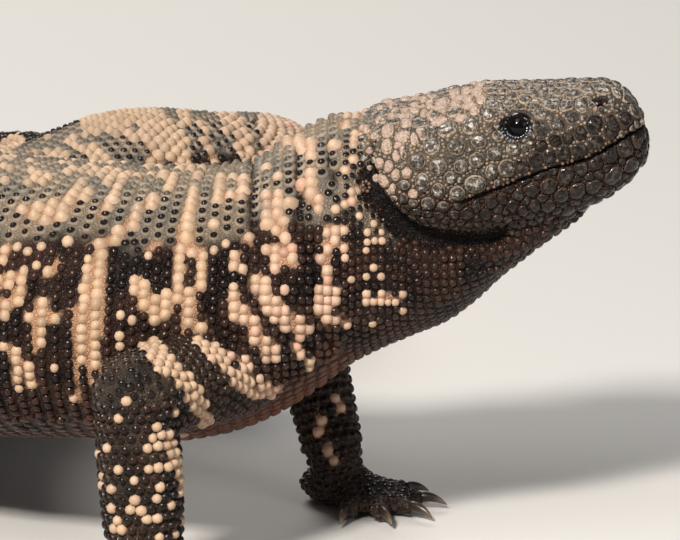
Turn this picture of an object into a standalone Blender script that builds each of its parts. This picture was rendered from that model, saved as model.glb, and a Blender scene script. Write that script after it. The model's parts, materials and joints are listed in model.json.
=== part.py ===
# A life-size gila monster, standing on its forelegs with its head raised, its trunk bent round
# into a U and its tail lying behind. Every flesh piece is a loft, cut from its neighbours by thin gaps.
# Working values are millimetres in a frame whose floor is z = 0, whose head points to +x and whose
# left side is +y. One empty carries everything to the middle of the animal's own outline.
import math

import bpy
import bmesh
import numpy as np

MM = 0.001
GAP = 0.3

# Lengthwise stations of the body, throat to tail tip: x, y, height of the widest level, half width,
# height above that level, depth below it.
THROAT_STATIONS = (
    (50.0, -6.6, 75.0, 3.5, 2.5, 3.0),
    (45.0, -5.9, 74.0, 9.0, 4.0, 5.5),
    (36.0, -4.4, 71.0, 14.0, 8.0, 9.8),
    (23.5, -2.4, 65.0, 18.5, 18.0, 15.0),
)
NECK_STATIONS = (
    (12.5, -0.7, 62.0, 21.5, 28.4, 17.0),
    (2.5, 0.0, 63.5, 24.5, 29.6, 23.5),
    (-7.5, 0.0, 60.0, 27.5, 28.9, 27.3),
)
TRUNK_STATIONS = (
    (-18.0, 0.0, 54.5, 30.0, 28.0, 27.5),
    (-31.0, 1.0, 51.0, 31.5, 29.5, 27.5),
    (-50.0, 5.0, 49.5, 33.0, 30.5, 26.5),
    (-76.0, 20.0, 46.0, 35.0, 32.0, 27.0),
    (-95.0, 50.0, 40.0, 35.5, 29.5, 26.0),
    (-98.0, 87.0, 34.5, 34.5, 25.5, 23.5),
    (-87.0, 118.0, 32.0, 30.5, 21.5, 21.0),
    (-67.5, 141.0, 32.0, 25.0, 18.5, 19.0),
    (-48.0, 157.0, 33.0, 22.5, 21.3, 18.0),
)
TAIL_STATIONS = (
    (-27.0, 176.0, 29.5, 20.5, 20.2, 17.0),
    (-19.5, 203.0, 23.5, 18.6, 19.2, 17.5),
    (-25.5, 229.5, 17.5, 17.0, 15.8, 16.0),
    (-40.0, 252.0, 14.0, 14.8, 13.6, 14.1),
    (-60.5, 271.0, 10.3, 11.6, 10.2, 10.5),
    (-81.0, 283.5, 6.6, 6.5, 5.8, 6.8),
    (-86.5, 286.0, 5.0, 2.4, 2.2, 2.6),
)
BODY_SQUARENESS = 2.15
BODY_SIDES = 22
BODY_RING_STEP = 10.0

# Where the body is parted: path distances given as a station of the list above.
FIRST_CUT_STATION = 6
TRUNK_LENGTHS = 4
TAIL_LENGTHS = 3

# The head: x, height of the widest level, half width, height above it, depth below it.
HEAD_STATIONS = (
    (4.2, 83.0, 14.0, 8.5, 7.0),
    (6.7, 83.0, 19.0, 9.9, 9.0),
    (11.2, 82.5, 21.9, 11.7, 11.8),
    (15.8, 82.5, 22.6, 12.5, 14.2),
    (22.5, 83.5, 22.2, 13.4, 16.4),
    (29.4, 84.5, 20.7, 14.5, 17.2),
    (37.5, 86.5, 18.0, 13.5, 16.6),
    (45.8, 88.5, 15.3, 12.4, 15.8),
    (51.9, 90.0, 13.3, 11.6, 14.3),
    (56.5, 90.5, 11.2, 10.9, 12.1),
    (60.6, 90.0, 8.2, 7.8, 7.8),
    (63.1, 88.8, 4.2, 3.2, 3.0),
)
HEAD_TURN_SLOPE = 0.16
HEAD_TURN_FROM = 8.0
HEAD_SQUARENESS_ABOVE = 2.8
HEAD_SQUARENESS_BELOW = 2.2
HEAD_SIDES = 24
HEAD_RING_STEP = 4.4

# The mouth, as a line in side view from the snout to its corner, then down behind the jaw.
MOUTH_LINE = ((70.0, 97.0), (61.0, 94.8), (56.0, 91.0), (50.5, 88.2), (43.0, 86.4), (34.0, 83.4), (24.8, 80.2))
JAW_CORNER_LINE = ((21.5, 76.0), (21.0, 60.0), (70.0, 60.0))
CUTTER_HALF_WIDTH = 40.0
EYE_RADIUS = 2.9
EYE_SEGMENTS = 12
EYE_RINGS = 8
EYE_STATION = 36.7
EYE_HEIGHT = 94.9
EYE_SIDE = 13.6

# Legs: root inside the trunk, elbow or knee, wrist or ankle, and the heading of the foot in degrees
# from +x towards +y. Radii run from root to wrist.
LEGS = {
    "foreleg_right": {
        "root": (-20.0, -17.0, 43.0), "bend": (-41.6, -46.5, 45.5), "wrist": (-39.6, -49.0, 12.5),
        "heading": -12.0, "upper": (9.8, 9.6, 9.0), "lower": (8.2, 8.6, 8.4, 7.4), "size": 1.0,
    },
    "foreleg_left": {
        "root": (-16.0, 18.0, 45.0), "bend": (-8.0, 43.0, 38.0), "wrist": (-1.5, 31.0, 11.5),
        "heading": -38.0, "upper": (10.6, 10.0, 8.2), "lower": (7.3, 7.4, 6.9, 6.4), "size": 1.0,
    },
    "hindleg_left": {
        "root": (-48.0, 150.0, 35.0), "bend": (-33.4, 120.0, 33.0), "wrist": (-23.0, 122.5, 11.5),
        "heading": -114.0, "upper": (11.0, 10.8, 9.0), "lower": (8.0, 8.2, 7.4, 6.8), "size": 1.1,
    },
    "hindleg_right": {
        "root": (-58.0, 163.0, 35.0), "bend": (-81.0, 188.0, 33.0), "wrist": (-76.5, 198.5, 11.5),
        "heading": 184.0, "upper": (11.0, 10.8, 9.0), "lower": (8.0, 8.2, 7.4, 6.8), "size": 1.1,
    },
}
LIMB_SIDES = 12
LIMB_RING_STEP = 7.0
LEG_SHARES = (0.33, 0.7)
UPPER_SHARE = 0.55
ROUND_DOME = (30, 58, 78)
BLUNT_DOME = (45,)

# A foot of size 1: its sole's thickness, the spread of its five toes and each toe's length.
PALM_LENGTH = 9.5
PALM_HALF_WIDTH = 7.4
PALM_HALF_HEIGHT = 4.4
PALM_HEIGHT = 3.8
PALM_SIDES = 8
PALM_RING_STEP = 4.5
PALM_REACHES = (-1.5, 4.3, 9.5)
PALM_TAPER = (0.85, 1.0, 0.8)
ANKLE_LENGTH = 4.0
ANKLE_TAPER = (1.0, 0.98, 0.93)
TOE_SPREAD = (58.0, 27.0, 0.0, -27.0, -58.0)
TOE_LENGTHS = (7.0, 9.6, 10.6, 9.8, 7.6)
TOE_RADIUS = 2.7
TOE_SIDES = 6
TOE_TAPER = (1.1, 1.0, 0.86)
TOE_RING_STEP = 5.0
TOE_HEIGHT = 2.35
TOE_ROOT = 5.5
TOE_START = 1.5
TOE_START_TURN = 0.5
KNUCKLE_RISE = 1.0
KNUCKLE_TURN = 0.9
KNUCKLE_SHARE = 0.6
CLAW_RADIUS = 1.15
CLAW_LENGTH = 5.6
CLAW_ROOT_DEPTH = 1.6
CLAW_RISE = 0.35
CLAW_DROP = 1.55
CLAW_ARCH = 0.9
CLAW_TAPER = 0.72
CLAW_SIDES = 5
FLOOR_BLOCK = 700.0
FLOOR_BLOCK_DEPTH = 60.0

SKIN_COLOURS = {
    "head": (0.13, 0.11, 0.09), "neck": (0.36, 0.24, 0.18), "trunk": (0.45, 0.30, 0.21),
    "tail": (0.42, 0.27, 0.20), "foreleg": (0.10, 0.07, 0.06), "hindleg": (0.10, 0.07, 0.06),
    "lower": (0.06, 0.05, 0.05),
}
SKIN_ROUGHNESS = 0.55
EYE_COLOUR = (0.01, 0.01, 0.012)
EYE_ROUGHNESS = 0.08
CLAW_COLOUR = (0.16, 0.12, 0.09)
CLAW_ROUGHNESS = 0.35


def clear_scene():
    for item in list(bpy.data.objects):
        bpy.data.objects.remove(item, do_unlink=True)


def new_collection(name):
    made = bpy.data.collections.new(name)
    bpy.context.scene.collection.children.link(made)
    return made


def add_material(item, colour, roughness):
    material = bpy.data.materials.new(item.name + "_finish")
    material.use_nodes = True
    shader = material.node_tree.nodes["Principled BSDF"]
    shader.inputs["Base Color"].default_value = (*colour, 1.0)
    shader.inputs["Roughness"].default_value = roughness
    shader.inputs["Metallic"].default_value = 0.0
    item.data.materials.append(material)


def smooth_track(rows):
    """A smooth curve through the rows, which starts at distance 0 along its first three columns."""
    rows = np.array(rows, float)
    steps = np.linalg.norm(np.diff(rows[:, :3], axis=0), axis=1)
    knots = np.concatenate([[0.0], np.cumsum(steps)])
    slopes = np.gradient(rows, knots, axis=0)

    def at(distance):
        i = int(np.clip(np.searchsorted(knots, distance) - 1, 0, len(knots) - 2))
        span = knots[i + 1] - knots[i]
        t = (distance - knots[i]) / span
        near = (1 + 2 * t) * (1 - t) ** 2
        far = t * t * (3 - 2 * t)
        out = t * (1 - t) ** 2
        back = t * t * (t - 1)
        return near * rows[i] + far * rows[i + 1] + span * (out * slopes[i] + back * slopes[i + 1])

    return at, knots


def oval(sides, half_width, above, below, square_above, square_below):
    """Points of a closed section as pairs: across, and up from its widest level."""
    points = []
    for k in range(sides):
        turn = 2 * math.pi * (k + 0.5) / sides
        across, rise = math.cos(turn), math.sin(turn)
        power = 2 / (square_above if rise > 0 else square_below)
        reach = above if rise > 0 else below
        points.append((
            math.copysign(abs(across) ** power, across) * half_width,
            math.copysign(abs(rise) ** power, rise) * reach,
        ))
    return points


def mesh_from(name, vertices, faces, collection):
    mesh = bpy.data.meshes.new(name)
    mesh.from_pydata([tuple(float(c) * MM for c in v) for v in vertices], [], faces)
    shape = bmesh.new()
    shape.from_mesh(mesh)
    bmesh.ops.recalc_face_normals(shape, faces=shape.faces[:])
    shape.to_mesh(mesh)
    shape.free()
    mesh.shade_smooth()
    mesh.set_sharp_from_angle(angle=math.radians(50))
    item = bpy.data.objects.new(name, mesh)
    collection.objects.link(item)
    return item


def loft(name, rings, collection, pointed_start=False, pointed_end=False):
    """A closed skin over rings of equal count, its ends flat or drawn in to a point."""
    sides = len(rings[0])
    vertices = [point for ring in rings for point in ring]
    faces = []
    for r in range(len(rings) - 1):
        for k in range(sides):
            nxt = (k + 1) % sides
            faces.append((r * sides + k, r * sides + nxt, (r + 1) * sides + nxt, (r + 1) * sides + k))
    for first, pointed in ((0, pointed_start), ((len(rings) - 1) * sides, pointed_end)):
        rim = list(range(first, first + sides))
        if pointed:
            vertices.append(np.mean([vertices[i] for i in rim], axis=0))
            hub = len(vertices) - 1
            faces += [(rim[k], rim[(k + 1) % sides], hub) for k in range(sides)]
        else:
            faces.append(tuple(rim))
    return mesh_from(name, vertices, faces, collection)


def as_cutter(item):
    item.hide_render = True
    item.display_type = "WIRE"
    return item


def boolean(item, other, operation):
    modifier = item.modifiers.new(operation.lower() + "_" + other.name, "BOOLEAN")
    modifier.operation = operation
    modifier.object = other
    modifier.solver = "EXACT"


def body_ring(track, distance, grow=0.0):
    """One upright section of the body, square to its path seen from above."""
    x, y, level, half_width, above, below = track(distance)
    ahead = track(distance + 0.5)[:2] - track(distance - 0.5)[:2]
    ahead /= np.linalg.norm(ahead)
    side = np.array((-ahead[1], ahead[0]))
    section = oval(BODY_SIDES, half_width + grow, above + grow, below + grow,
                   BODY_SQUARENESS, BODY_SQUARENESS)
    return [(x + across * side[0], y + across * side[1], level + rise) for across, rise in section]


def body_length(name, track, start, end, collection, grow=0.0, pointed_start=False, pointed_end=False):
    count = max(2, round((end - start) / BODY_RING_STEP))
    rings = [body_ring(track, start + (end - start) * i / count, grow) for i in range(count + 1)]
    return loft(name, rings, collection, pointed_start, pointed_end)


def head_rings(grow=0.0):
    """Upright sections along the head, which turns a little towards the animal's right."""
    rows = [(x, -HEAD_TURN_SLOPE * max(0.0, x - HEAD_TURN_FROM), level, half, above, below)
            for x, level, half, above, below in HEAD_STATIONS]
    track, knots = smooth_track(rows)
    count = round(knots[-1] / HEAD_RING_STEP)
    distances = np.linspace(0.0, knots[-1], count + 1)
    rings = []
    for i, distance in enumerate(distances):
        x, y, level, half, above, below = track(distance)
        shift = grow * (-1.0 if i == 0 else 1.0 if i == count else 0.0)
        section = oval(HEAD_SIDES, half + grow, above + grow, below + grow,
                       HEAD_SQUARENESS_ABOVE, HEAD_SQUARENESS_BELOW)
        rings.append([(x + shift, y + across, level + rise) for across, rise in section])
    return rings


def widened(outline, gap):
    """A counter-clockwise outline with every corner moved outwards by the gap."""
    moved = []
    for i, corner in enumerate(outline):
        before = np.array(corner) - np.array(outline[i - 1])
        after = np.array(outline[(i + 1) % len(outline)]) - np.array(corner)
        way = before / np.linalg.norm(before) + after / np.linalg.norm(after)
        way /= np.linalg.norm(way)
        moved.append((corner[0] + gap * way[1], corner[1] - gap * way[0]))
    return moved


def extruded_outline(name, outline, half_width, collection):
    """A flat side-view outline given thickness across the head."""
    vertices = [(x, side * half_width, z) for side in (-1, 1) for x, z in outline]
    count = len(outline)
    faces = [tuple(range(count)), tuple(range(2 * count - 1, count - 1, -1))]
    faces += [(i, (i + 1) % count, count + (i + 1) % count, count + i) for i in range(count)]
    return mesh_from(name, vertices, faces, collection)


def limb_rings(points, radii, sides, step, round_start=False, round_end=False, grow=0.0, flatten=1.0,
               dome_turns=ROUND_DOME):
    """Round sections along a smooth path, its ends closed with a dome where asked."""
    rows = [(*point, radius) for point, radius in zip(points, radii)]
    track, knots = smooth_track(rows)
    total = knots[-1]
    count = max(2, round(total / step))
    stops = [(total * i / count, 0.0, 1.0) for i in range(count + 1)]
    dome = [(math.sin(turn), math.cos(turn)) for turn in (math.radians(angle) for angle in dome_turns)]
    if round_start:
        stops = [(0.0, -out, narrow) for out, narrow in reversed(dome)] + stops
    if round_end:
        stops += [(total, out, narrow) for out, narrow in dome]
    rings = []
    up = np.array((0.0, 0.0, 1.0))
    for distance, out, narrow in stops:
        low, high = max(0.0, distance - 0.5), min(total, distance + 0.5)
        ahead = track(high)[:3] - track(low)[:3]
        ahead /= np.linalg.norm(ahead)
        across = np.cross(ahead, up)
        if np.linalg.norm(across) < 0.3:
            across = np.cross(ahead, np.array((1.0, 0.0, 0.0)))
        across /= np.linalg.norm(across)
        if rings and np.dot(across, last_across) < 0:
            across = -across
        last_across = across
        rise = np.cross(across, ahead)
        row = track(distance)
        radius = row[3] + grow
        centre = row[:3] + ahead * out * radius
        rings.append([
            centre + radius * narrow * (math.cos(turn) * across + flatten * math.sin(turn) * rise)
            for turn in (2 * math.pi * k / sides for k in range(sides))
        ])
    return rings


def end_direction(points, radii):
    """The way a limb's path points at its far end, as its last section has it."""
    track, knots = smooth_track([(*point, radius) for point, radius in zip(points, radii)])
    ahead = track(knots[-1])[:3] - track(knots[-1] - 0.5)[:3]
    return ahead / np.linalg.norm(ahead)


def between(a, b, share):
    return tuple(np.array(a) * (1 - share) + np.array(b) * share)


def leg_curve(leg):
    """The path points of a leg's upper and lower lengths."""
    root, bend, wrist = leg["root"], leg["bend"], leg["wrist"]
    upper = (root, between(root, bend, UPPER_SHARE), bend)
    lower = (bend, *(between(bend, wrist, share) for share in LEG_SHARES), wrist)
    return upper, lower


def turned(heading, forward, height):
    """A step along the floor at a heading, raised by the height."""
    angle = math.radians(heading)
    return np.array((forward * math.cos(angle), forward * math.sin(angle), height))


def toe_path(leg, i):
    """A toe's points: out of the palm, over the knuckle and down to its tip."""
    size = leg["size"]
    heading = leg["heading"]
    wrist = np.array(leg["wrist"])
    root = np.array((wrist[0], wrist[1], 0.0)) + turned(heading, TOE_ROOT * size, 0.0)
    spread = TOE_SPREAD[i]
    start = root + turned(heading + spread * TOE_START_TURN, TOE_START, TOE_HEIGHT + KNUCKLE_RISE)
    length = (PALM_LENGTH - TOE_ROOT + TOE_LENGTHS[i]) * size
    middle = root + turned(heading + spread * KNUCKLE_TURN, length * KNUCKLE_SHARE,
                           TOE_HEIGHT + KNUCKLE_RISE)
    tip = root + turned(heading + spread, length, TOE_HEIGHT)
    return start, middle, tip


def claw_rings(leg, i, grow=0.0):
    """A claw: a curved spike that leaves the toe's tip and ends at the floor."""
    _, middle, tip = toe_path(leg, i)
    ahead = tip - middle
    ahead[2] = 0.0
    ahead /= np.linalg.norm(ahead)
    up = np.array((0.0, 0.0, 1.0))
    root = tip + ahead * (TOE_RADIUS - CLAW_ROOT_DEPTH) + up * CLAW_RISE
    points, radii = [], []
    for share in np.linspace(0.0, 1.0, 5):
        drop = CLAW_DROP * share ** 2 - CLAW_ARCH * share * (1 - share)
        points.append(tuple(root + ahead * CLAW_LENGTH * share - up * drop))
        radii.append(CLAW_RADIUS * (1 - CLAW_TAPER * share ** 1.4))
    return limb_rings(points, radii, CLAW_SIDES, CLAW_LENGTH / 3, True, True, grow, dome_turns=BLUNT_DOME)


def build_head(parts, cutters):
    head = loft("head", head_rings(), parts, True, True)
    lower_jaw = loft("lower_jaw", head_rings(), parts, True, True)
    inflated = as_cutter(loft("head_space", head_rings(GAP), cutters, True, True))
    outline = MOUTH_LINE + JAW_CORNER_LINE
    jaw_region = as_cutter(extruded_outline("jaw_region", outline, CUTTER_HALF_WIDTH, cutters))
    jaw_space = as_cutter(extruded_outline("jaw_space", widened(outline, GAP), CUTTER_HALF_WIDTH, cutters))
    boolean(lower_jaw, jaw_region, "INTERSECT")
    boolean(head, jaw_space, "DIFFERENCE")
    centre_y = -HEAD_TURN_SLOPE * (EYE_STATION - HEAD_TURN_FROM)
    for side, name in ((1, "eye_left"), (-1, "eye_right")):
        place = (EYE_STATION, centre_y + side * EYE_SIDE, EYE_HEIGHT)
        eye = eyeball(name, place, EYE_RADIUS, parts)
        socket = as_cutter(eyeball(name + "_socket", place, EYE_RADIUS + GAP, cutters))
        boolean(head, socket, "DIFFERENCE")
        add_material(eye, EYE_COLOUR, EYE_ROUGHNESS)
    add_material(head, SKIN_COLOURS["head"], SKIN_ROUGHNESS)
    add_material(lower_jaw, SKIN_COLOURS["head"], SKIN_ROUGHNESS)
    return inflated


def eyeball(name, place, radius, collection):
    mesh = bpy.data.meshes.new(name)
    shape = bmesh.new()
    bmesh.ops.create_uvsphere(shape, u_segments=EYE_SEGMENTS, v_segments=EYE_RINGS, radius=radius * MM)
    shape.to_mesh(mesh)
    shape.free()
    mesh.shade_smooth()
    item = bpy.data.objects.new(name, mesh)
    item.location = [c * MM for c in place]
    collection.objects.link(item)
    return item


def build_body(parts, cutters, head_space, floor_block):
    stations = THROAT_STATIONS + NECK_STATIONS + TRUNK_STATIONS + TAIL_STATIONS
    track, knots = smooth_track(stations)
    neck_end = knots[FIRST_CUT_STATION]
    trunk_end = (knots[len(stations) - len(TAIL_STATIONS) - 1] + knots[-len(TAIL_STATIONS)]) / 2
    names = ["neck"]
    cuts = [0.0, neck_end]
    trunk_names = ("trunk_shoulder", "trunk_chest", "trunk_belly", "trunk_hip")
    for i, name in enumerate(trunk_names):
        names.append(name)
        cuts.append(neck_end + (trunk_end - neck_end) * (i + 1) / TRUNK_LENGTHS)
    for i, name in enumerate(("tail_base", "tail_middle", "tail_end")):
        names.append(name)
        cuts.append(trunk_end + (knots[-1] - trunk_end) * (i + 1) / TAIL_LENGTHS)
    for i, name in enumerate(names):
        first, last = i == 0, i == len(names) - 1
        start = cuts[i] + (0.0 if first else GAP / 2)
        end = cuts[i + 1] - (0.0 if last else GAP / 2)
        item = body_length(name, track, start, end, parts, 0.0, first, last)
        if first:
            boolean(item, head_space, "DIFFERENCE")
        if name.startswith("tail"):
            boolean(item, floor_block, "DIFFERENCE")
        add_material(item, SKIN_COLOURS[name.split("_")[0]], SKIN_ROUGHNESS)
    return as_cutter(body_length("body_space", track, 0.0, knots[-1], cutters, GAP, True, True))


def build_leg(name, leg, parts, cutters, body_space, floor_block):
    upper_points, lower_points = leg_curve(leg)
    upper = loft(name + "_upper", limb_rings(upper_points, leg["upper"], LIMB_SIDES, LIMB_RING_STEP,
                                             True, True), parts, True, True)
    boolean(upper, body_space, "DIFFERENCE")
    upper_space = as_cutter(loft(name + "_upper_space", limb_rings(
        upper_points, leg["upper"], LIMB_SIDES, LIMB_RING_STEP, True, True, GAP), cutters, True, True))
    lower = loft(name + "_lower", limb_rings(lower_points, leg["lower"], LIMB_SIDES, LIMB_RING_STEP),
                 parts)
    boolean(lower, upper_space, "DIFFERENCE")
    beyond = np.array(leg["wrist"]) + end_direction(lower_points, leg["lower"]) * GAP
    lower_space = as_cutter(loft(name + "_lower_space", limb_rings(
        lower_points[:-1] + (tuple(beyond),), leg["lower"], LIMB_SIDES, LIMB_RING_STEP,
        grow=GAP), cutters))
    foot = build_foot(name, leg, parts, cutters, floor_block)
    boolean(foot, lower_space, "DIFFERENCE")
    for item, colour in ((upper, name.split("_")[0]), (lower, "lower"), (foot, "lower")):
        add_material(item, SKIN_COLOURS[colour], SKIN_ROUGHNESS)


def build_foot(name, leg, parts, cutters, floor_block):
    """A foot: the wrist turning into a low palm, five toes joined to it, and five claws."""
    size = leg["size"]
    _, lower_points = leg_curve(leg)
    wrist = np.array(leg["wrist"])
    down = end_direction(lower_points, leg["lower"])
    start = wrist + down * GAP / 2
    heel = wrist + down * ANKLE_LENGTH
    foot = loft(name + "_foot", limb_rings(
        (start, (start + heel) / 2, heel), [leg["lower"][-1] * share for share in ANKLE_TAPER],
        LIMB_SIDES, PALM_RING_STEP, False, True, dome_turns=BLUNT_DOME), parts, False, True)
    ground = np.array((wrist[0], wrist[1], 0.0))
    palm_points = [ground + turned(leg["heading"], reach * size, PALM_HEIGHT) for reach in PALM_REACHES]
    palm = as_cutter(loft(name + "_palm", limb_rings(
        palm_points, [PALM_HALF_WIDTH * share * size for share in PALM_TAPER],
        PALM_SIDES, PALM_RING_STEP, True, True, 0.0, PALM_HALF_HEIGHT / PALM_HALF_WIDTH, BLUNT_DOME),
        cutters, True, True))
    boolean(foot, palm, "UNION")
    for i in range(len(TOE_LENGTHS)):
        toe = as_cutter(loft(f"{name}_toe_{i + 1}", limb_rings(
            toe_path(leg, i), [TOE_RADIUS * share * size for share in TOE_TAPER],
            TOE_SIDES, TOE_RING_STEP, False, True, dome_turns=BLUNT_DOME), cutters, False, True))
        boolean(foot, toe, "UNION")
    boolean(foot, floor_block, "DIFFERENCE")
    for i in range(len(TOE_LENGTHS)):
        claw = loft(f"{name}_claw_{i + 1}", claw_rings(leg, i), parts, True, True)
        add_material(claw, CLAW_COLOUR, CLAW_ROUGHNESS)
        room = as_cutter(loft(f"{name}_claw_space_{i + 1}", claw_rings(leg, i, GAP), cutters, True, True))
        boolean(foot, room, "DIFFERENCE")
    return foot


def carry_to_origin(parts, cutters):
    """Hangs everything on one empty that puts the outline's bottom centre at the origin."""
    bpy.context.view_layer.update()
    graph = bpy.context.evaluated_depsgraph_get()
    low, high = np.full(3, 1e9), np.full(3, -1e9)
    for item in parts.objects:
        shape = item.evaluated_get(graph)
        for vertex in shape.data.vertices:
            point = np.array(item.matrix_world @ vertex.co)
            low, high = np.minimum(low, point), np.maximum(high, point)
    carrier = bpy.data.objects.new("gila_monster_origin", None)
    parts.objects.link(carrier)
    for item in list(parts.objects) + list(cutters.objects):
        if item is not carrier:
            item.parent = carrier
    carrier.location = (-(low[0] + high[0]) / 2, -(low[1] + high[1]) / 2, -low[2])
    bpy.context.view_layer.update()


def main():
    clear_scene()
    parts = new_collection("gila_monster")
    cutters = new_collection("gila_monster_cutters")
    block = [(x, y, z) for x in (-FLOOR_BLOCK, FLOOR_BLOCK) for y in (-FLOOR_BLOCK, FLOOR_BLOCK)
             for z in (-FLOOR_BLOCK_DEPTH, 0.0)]
    sides = [(0, 1, 3, 2), (4, 6, 7, 5), (0, 4, 5, 1), (2, 3, 7, 6), (0, 2, 6, 4), (1, 5, 7, 3)]
    floor_block = as_cutter(mesh_from("floor_block", block, sides, cutters))
    head_space = build_head(parts, cutters)
    body_space = build_body(parts, cutters, head_space, floor_block)
    for name, leg in LEGS.items():
        build_leg(name, leg, parts, cutters, body_space, floor_block)
    carry_to_origin(parts, cutters)


main()
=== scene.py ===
import json
import math

import bmesh
import bpy
import numpy as np
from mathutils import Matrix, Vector, noise
from mathutils.bvhtree import BVHTree
from mathutils.kdtree import KDTree

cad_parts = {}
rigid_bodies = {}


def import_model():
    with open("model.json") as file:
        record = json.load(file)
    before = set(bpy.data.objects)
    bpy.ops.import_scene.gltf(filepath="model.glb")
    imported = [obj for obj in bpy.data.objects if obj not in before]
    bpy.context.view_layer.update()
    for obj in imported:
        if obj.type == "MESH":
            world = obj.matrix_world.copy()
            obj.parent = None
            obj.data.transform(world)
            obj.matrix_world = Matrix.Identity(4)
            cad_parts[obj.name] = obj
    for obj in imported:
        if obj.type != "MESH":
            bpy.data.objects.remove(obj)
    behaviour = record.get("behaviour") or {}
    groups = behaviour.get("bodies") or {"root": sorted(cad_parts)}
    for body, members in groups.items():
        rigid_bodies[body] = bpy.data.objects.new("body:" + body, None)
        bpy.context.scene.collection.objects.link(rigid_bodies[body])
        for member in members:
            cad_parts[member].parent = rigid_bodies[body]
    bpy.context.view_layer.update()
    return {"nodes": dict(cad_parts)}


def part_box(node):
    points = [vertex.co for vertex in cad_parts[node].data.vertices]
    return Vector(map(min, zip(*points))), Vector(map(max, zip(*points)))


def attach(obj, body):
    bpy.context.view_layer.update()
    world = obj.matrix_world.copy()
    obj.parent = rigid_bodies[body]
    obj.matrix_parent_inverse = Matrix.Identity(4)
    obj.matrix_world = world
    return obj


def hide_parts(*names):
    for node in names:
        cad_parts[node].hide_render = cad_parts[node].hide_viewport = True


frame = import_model()

# The camera looks at the animal's right side from 15 degrees up, far off with a long lens.
# Lengths here and below are working millimetres: +x to the snout, -y to the camera, floor at z = 0.
MM = 0.001
PHOTO_WIDTH = 680
PHOTO_HEIGHT = 540
PIXELS_PER_MM = 4.8
CAMERA_DISTANCE = 1600.0
CAMERA_TILT = math.radians(15)
AIM_HEIGHT = 59.5
SENSOR_WIDTH = 36.0
EYE_CENTRE = (36.7, -18.192, 94.9)
COS_TILT = math.cos(CAMERA_TILT)
SIN_TILT = math.sin(CAMERA_TILT)

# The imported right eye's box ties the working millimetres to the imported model's frame.
eye_low, eye_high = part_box("eye_right")
ORIGIN = (np.array(eye_low) + np.array(eye_high)) / 2 - np.array(EYE_CENTRE) * MM


def placed(points):
    """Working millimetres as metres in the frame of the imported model."""
    return np.asarray(points, float) * MM + ORIGIN


def photo_spots(points):
    """Where points stand in the photo's frame, in pixels."""
    depth = CAMERA_DISTANCE + points[:, 1] * COS_TILT - (points[:, 2] - AIM_HEIGHT) * SIN_TILT
    scale = PIXELS_PER_MM * CAMERA_DISTANCE / depth
    rise = (points[:, 2] - AIM_HEIGHT) * COS_TILT + points[:, 1] * SIN_TILT
    return np.stack((PHOTO_WIDTH / 2 + points[:, 0] * scale, PHOTO_HEIGHT / 2 - rise * scale), 1)


def sight_line(spot):
    """The camera's place and the direction of its sight through a photo pixel."""
    sideways = (spot[0] - PHOTO_WIDTH / 2) / (PIXELS_PER_MM * CAMERA_DISTANCE)
    upwards = (PHOTO_HEIGHT / 2 - spot[1]) / (PIXELS_PER_MM * CAMERA_DISTANCE)
    place = (0.0, -CAMERA_DISTANCE * COS_TILT, AIM_HEIGHT + CAMERA_DISTANCE * SIN_TILT)
    way = (sideways, COS_TILT + upwards * SIN_TILT, upwards * COS_TILT - SIN_TILT)
    return Vector(place), Vector(way).normalized()


camera = bpy.data.objects.new("camera", bpy.data.cameras.new("camera"))
bpy.context.scene.collection.objects.link(camera)
camera.location = placed(sight_line((PHOTO_WIDTH / 2, PHOTO_HEIGHT / 2))[0])
camera.rotation_euler = (math.radians(90) - CAMERA_TILT, 0.0, 0.0)
camera.data.sensor_width = SENSOR_WIDTH
camera.data.lens = SENSOR_WIDTH * CAMERA_DISTANCE / (PHOTO_WIDTH / PIXELS_PER_MM)
camera.data.clip_end = 100.0
bpy.context.scene.camera = camera

# The skin: one leathery hide over the whole animal, from snout to tail tip and toes. It follows the
# solids' own stations, set in by the height of the beads, and is fused, smoothed and then creased.
THROAT_STATIONS = (
    (50.0, -6.6, 75.0, 3.5, 2.5, 3.0),
    (45.0, -5.9, 74.0, 9.0, 4.0, 5.5),
    (36.0, -4.4, 71.0, 14.0, 8.0, 9.8),
    (23.5, -2.4, 65.0, 18.5, 18.0, 15.0),
)
NECK_STATIONS = (
    (12.5, -0.7, 62.0, 21.5, 28.4, 17.0),
    (2.5, 0.0, 63.5, 24.5, 29.6, 23.5),
    (-7.5, 0.0, 60.0, 27.5, 28.9, 27.3),
)
TRUNK_STATIONS = (
    (-18.0, 0.0, 54.5, 30.0, 28.0, 27.5),
    (-31.0, 1.0, 51.0, 31.5, 29.5, 27.5),
    (-50.0, 5.0, 49.5, 33.0, 30.5, 26.5),
    (-76.0, 20.0, 46.0, 35.0, 32.0, 27.0),
    (-95.0, 50.0, 40.0, 35.5, 29.5, 26.0),
    (-98.0, 87.0, 34.5, 34.5, 25.5, 23.5),
    (-87.0, 118.0, 32.0, 30.5, 21.5, 21.0),
    (-67.5, 141.0, 32.0, 25.0, 18.5, 19.0),
    (-48.0, 157.0, 33.0, 22.5, 21.3, 18.0),
)
TAIL_STATIONS = (
    (-27.0, 176.0, 29.5, 20.5, 20.2, 17.0),
    (-19.5, 203.0, 23.5, 18.6, 19.2, 17.5),
    (-25.5, 229.5, 17.5, 17.0, 15.8, 16.0),
    (-40.0, 252.0, 14.0, 14.8, 13.6, 14.1),
    (-60.5, 271.0, 10.3, 11.6, 10.2, 10.5),
    (-81.0, 283.5, 6.6, 6.5, 5.8, 6.8),
    (-86.5, 286.0, 5.0, 2.4, 2.2, 2.6),
)
BODY_SQUARENESS = 2.15
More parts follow.
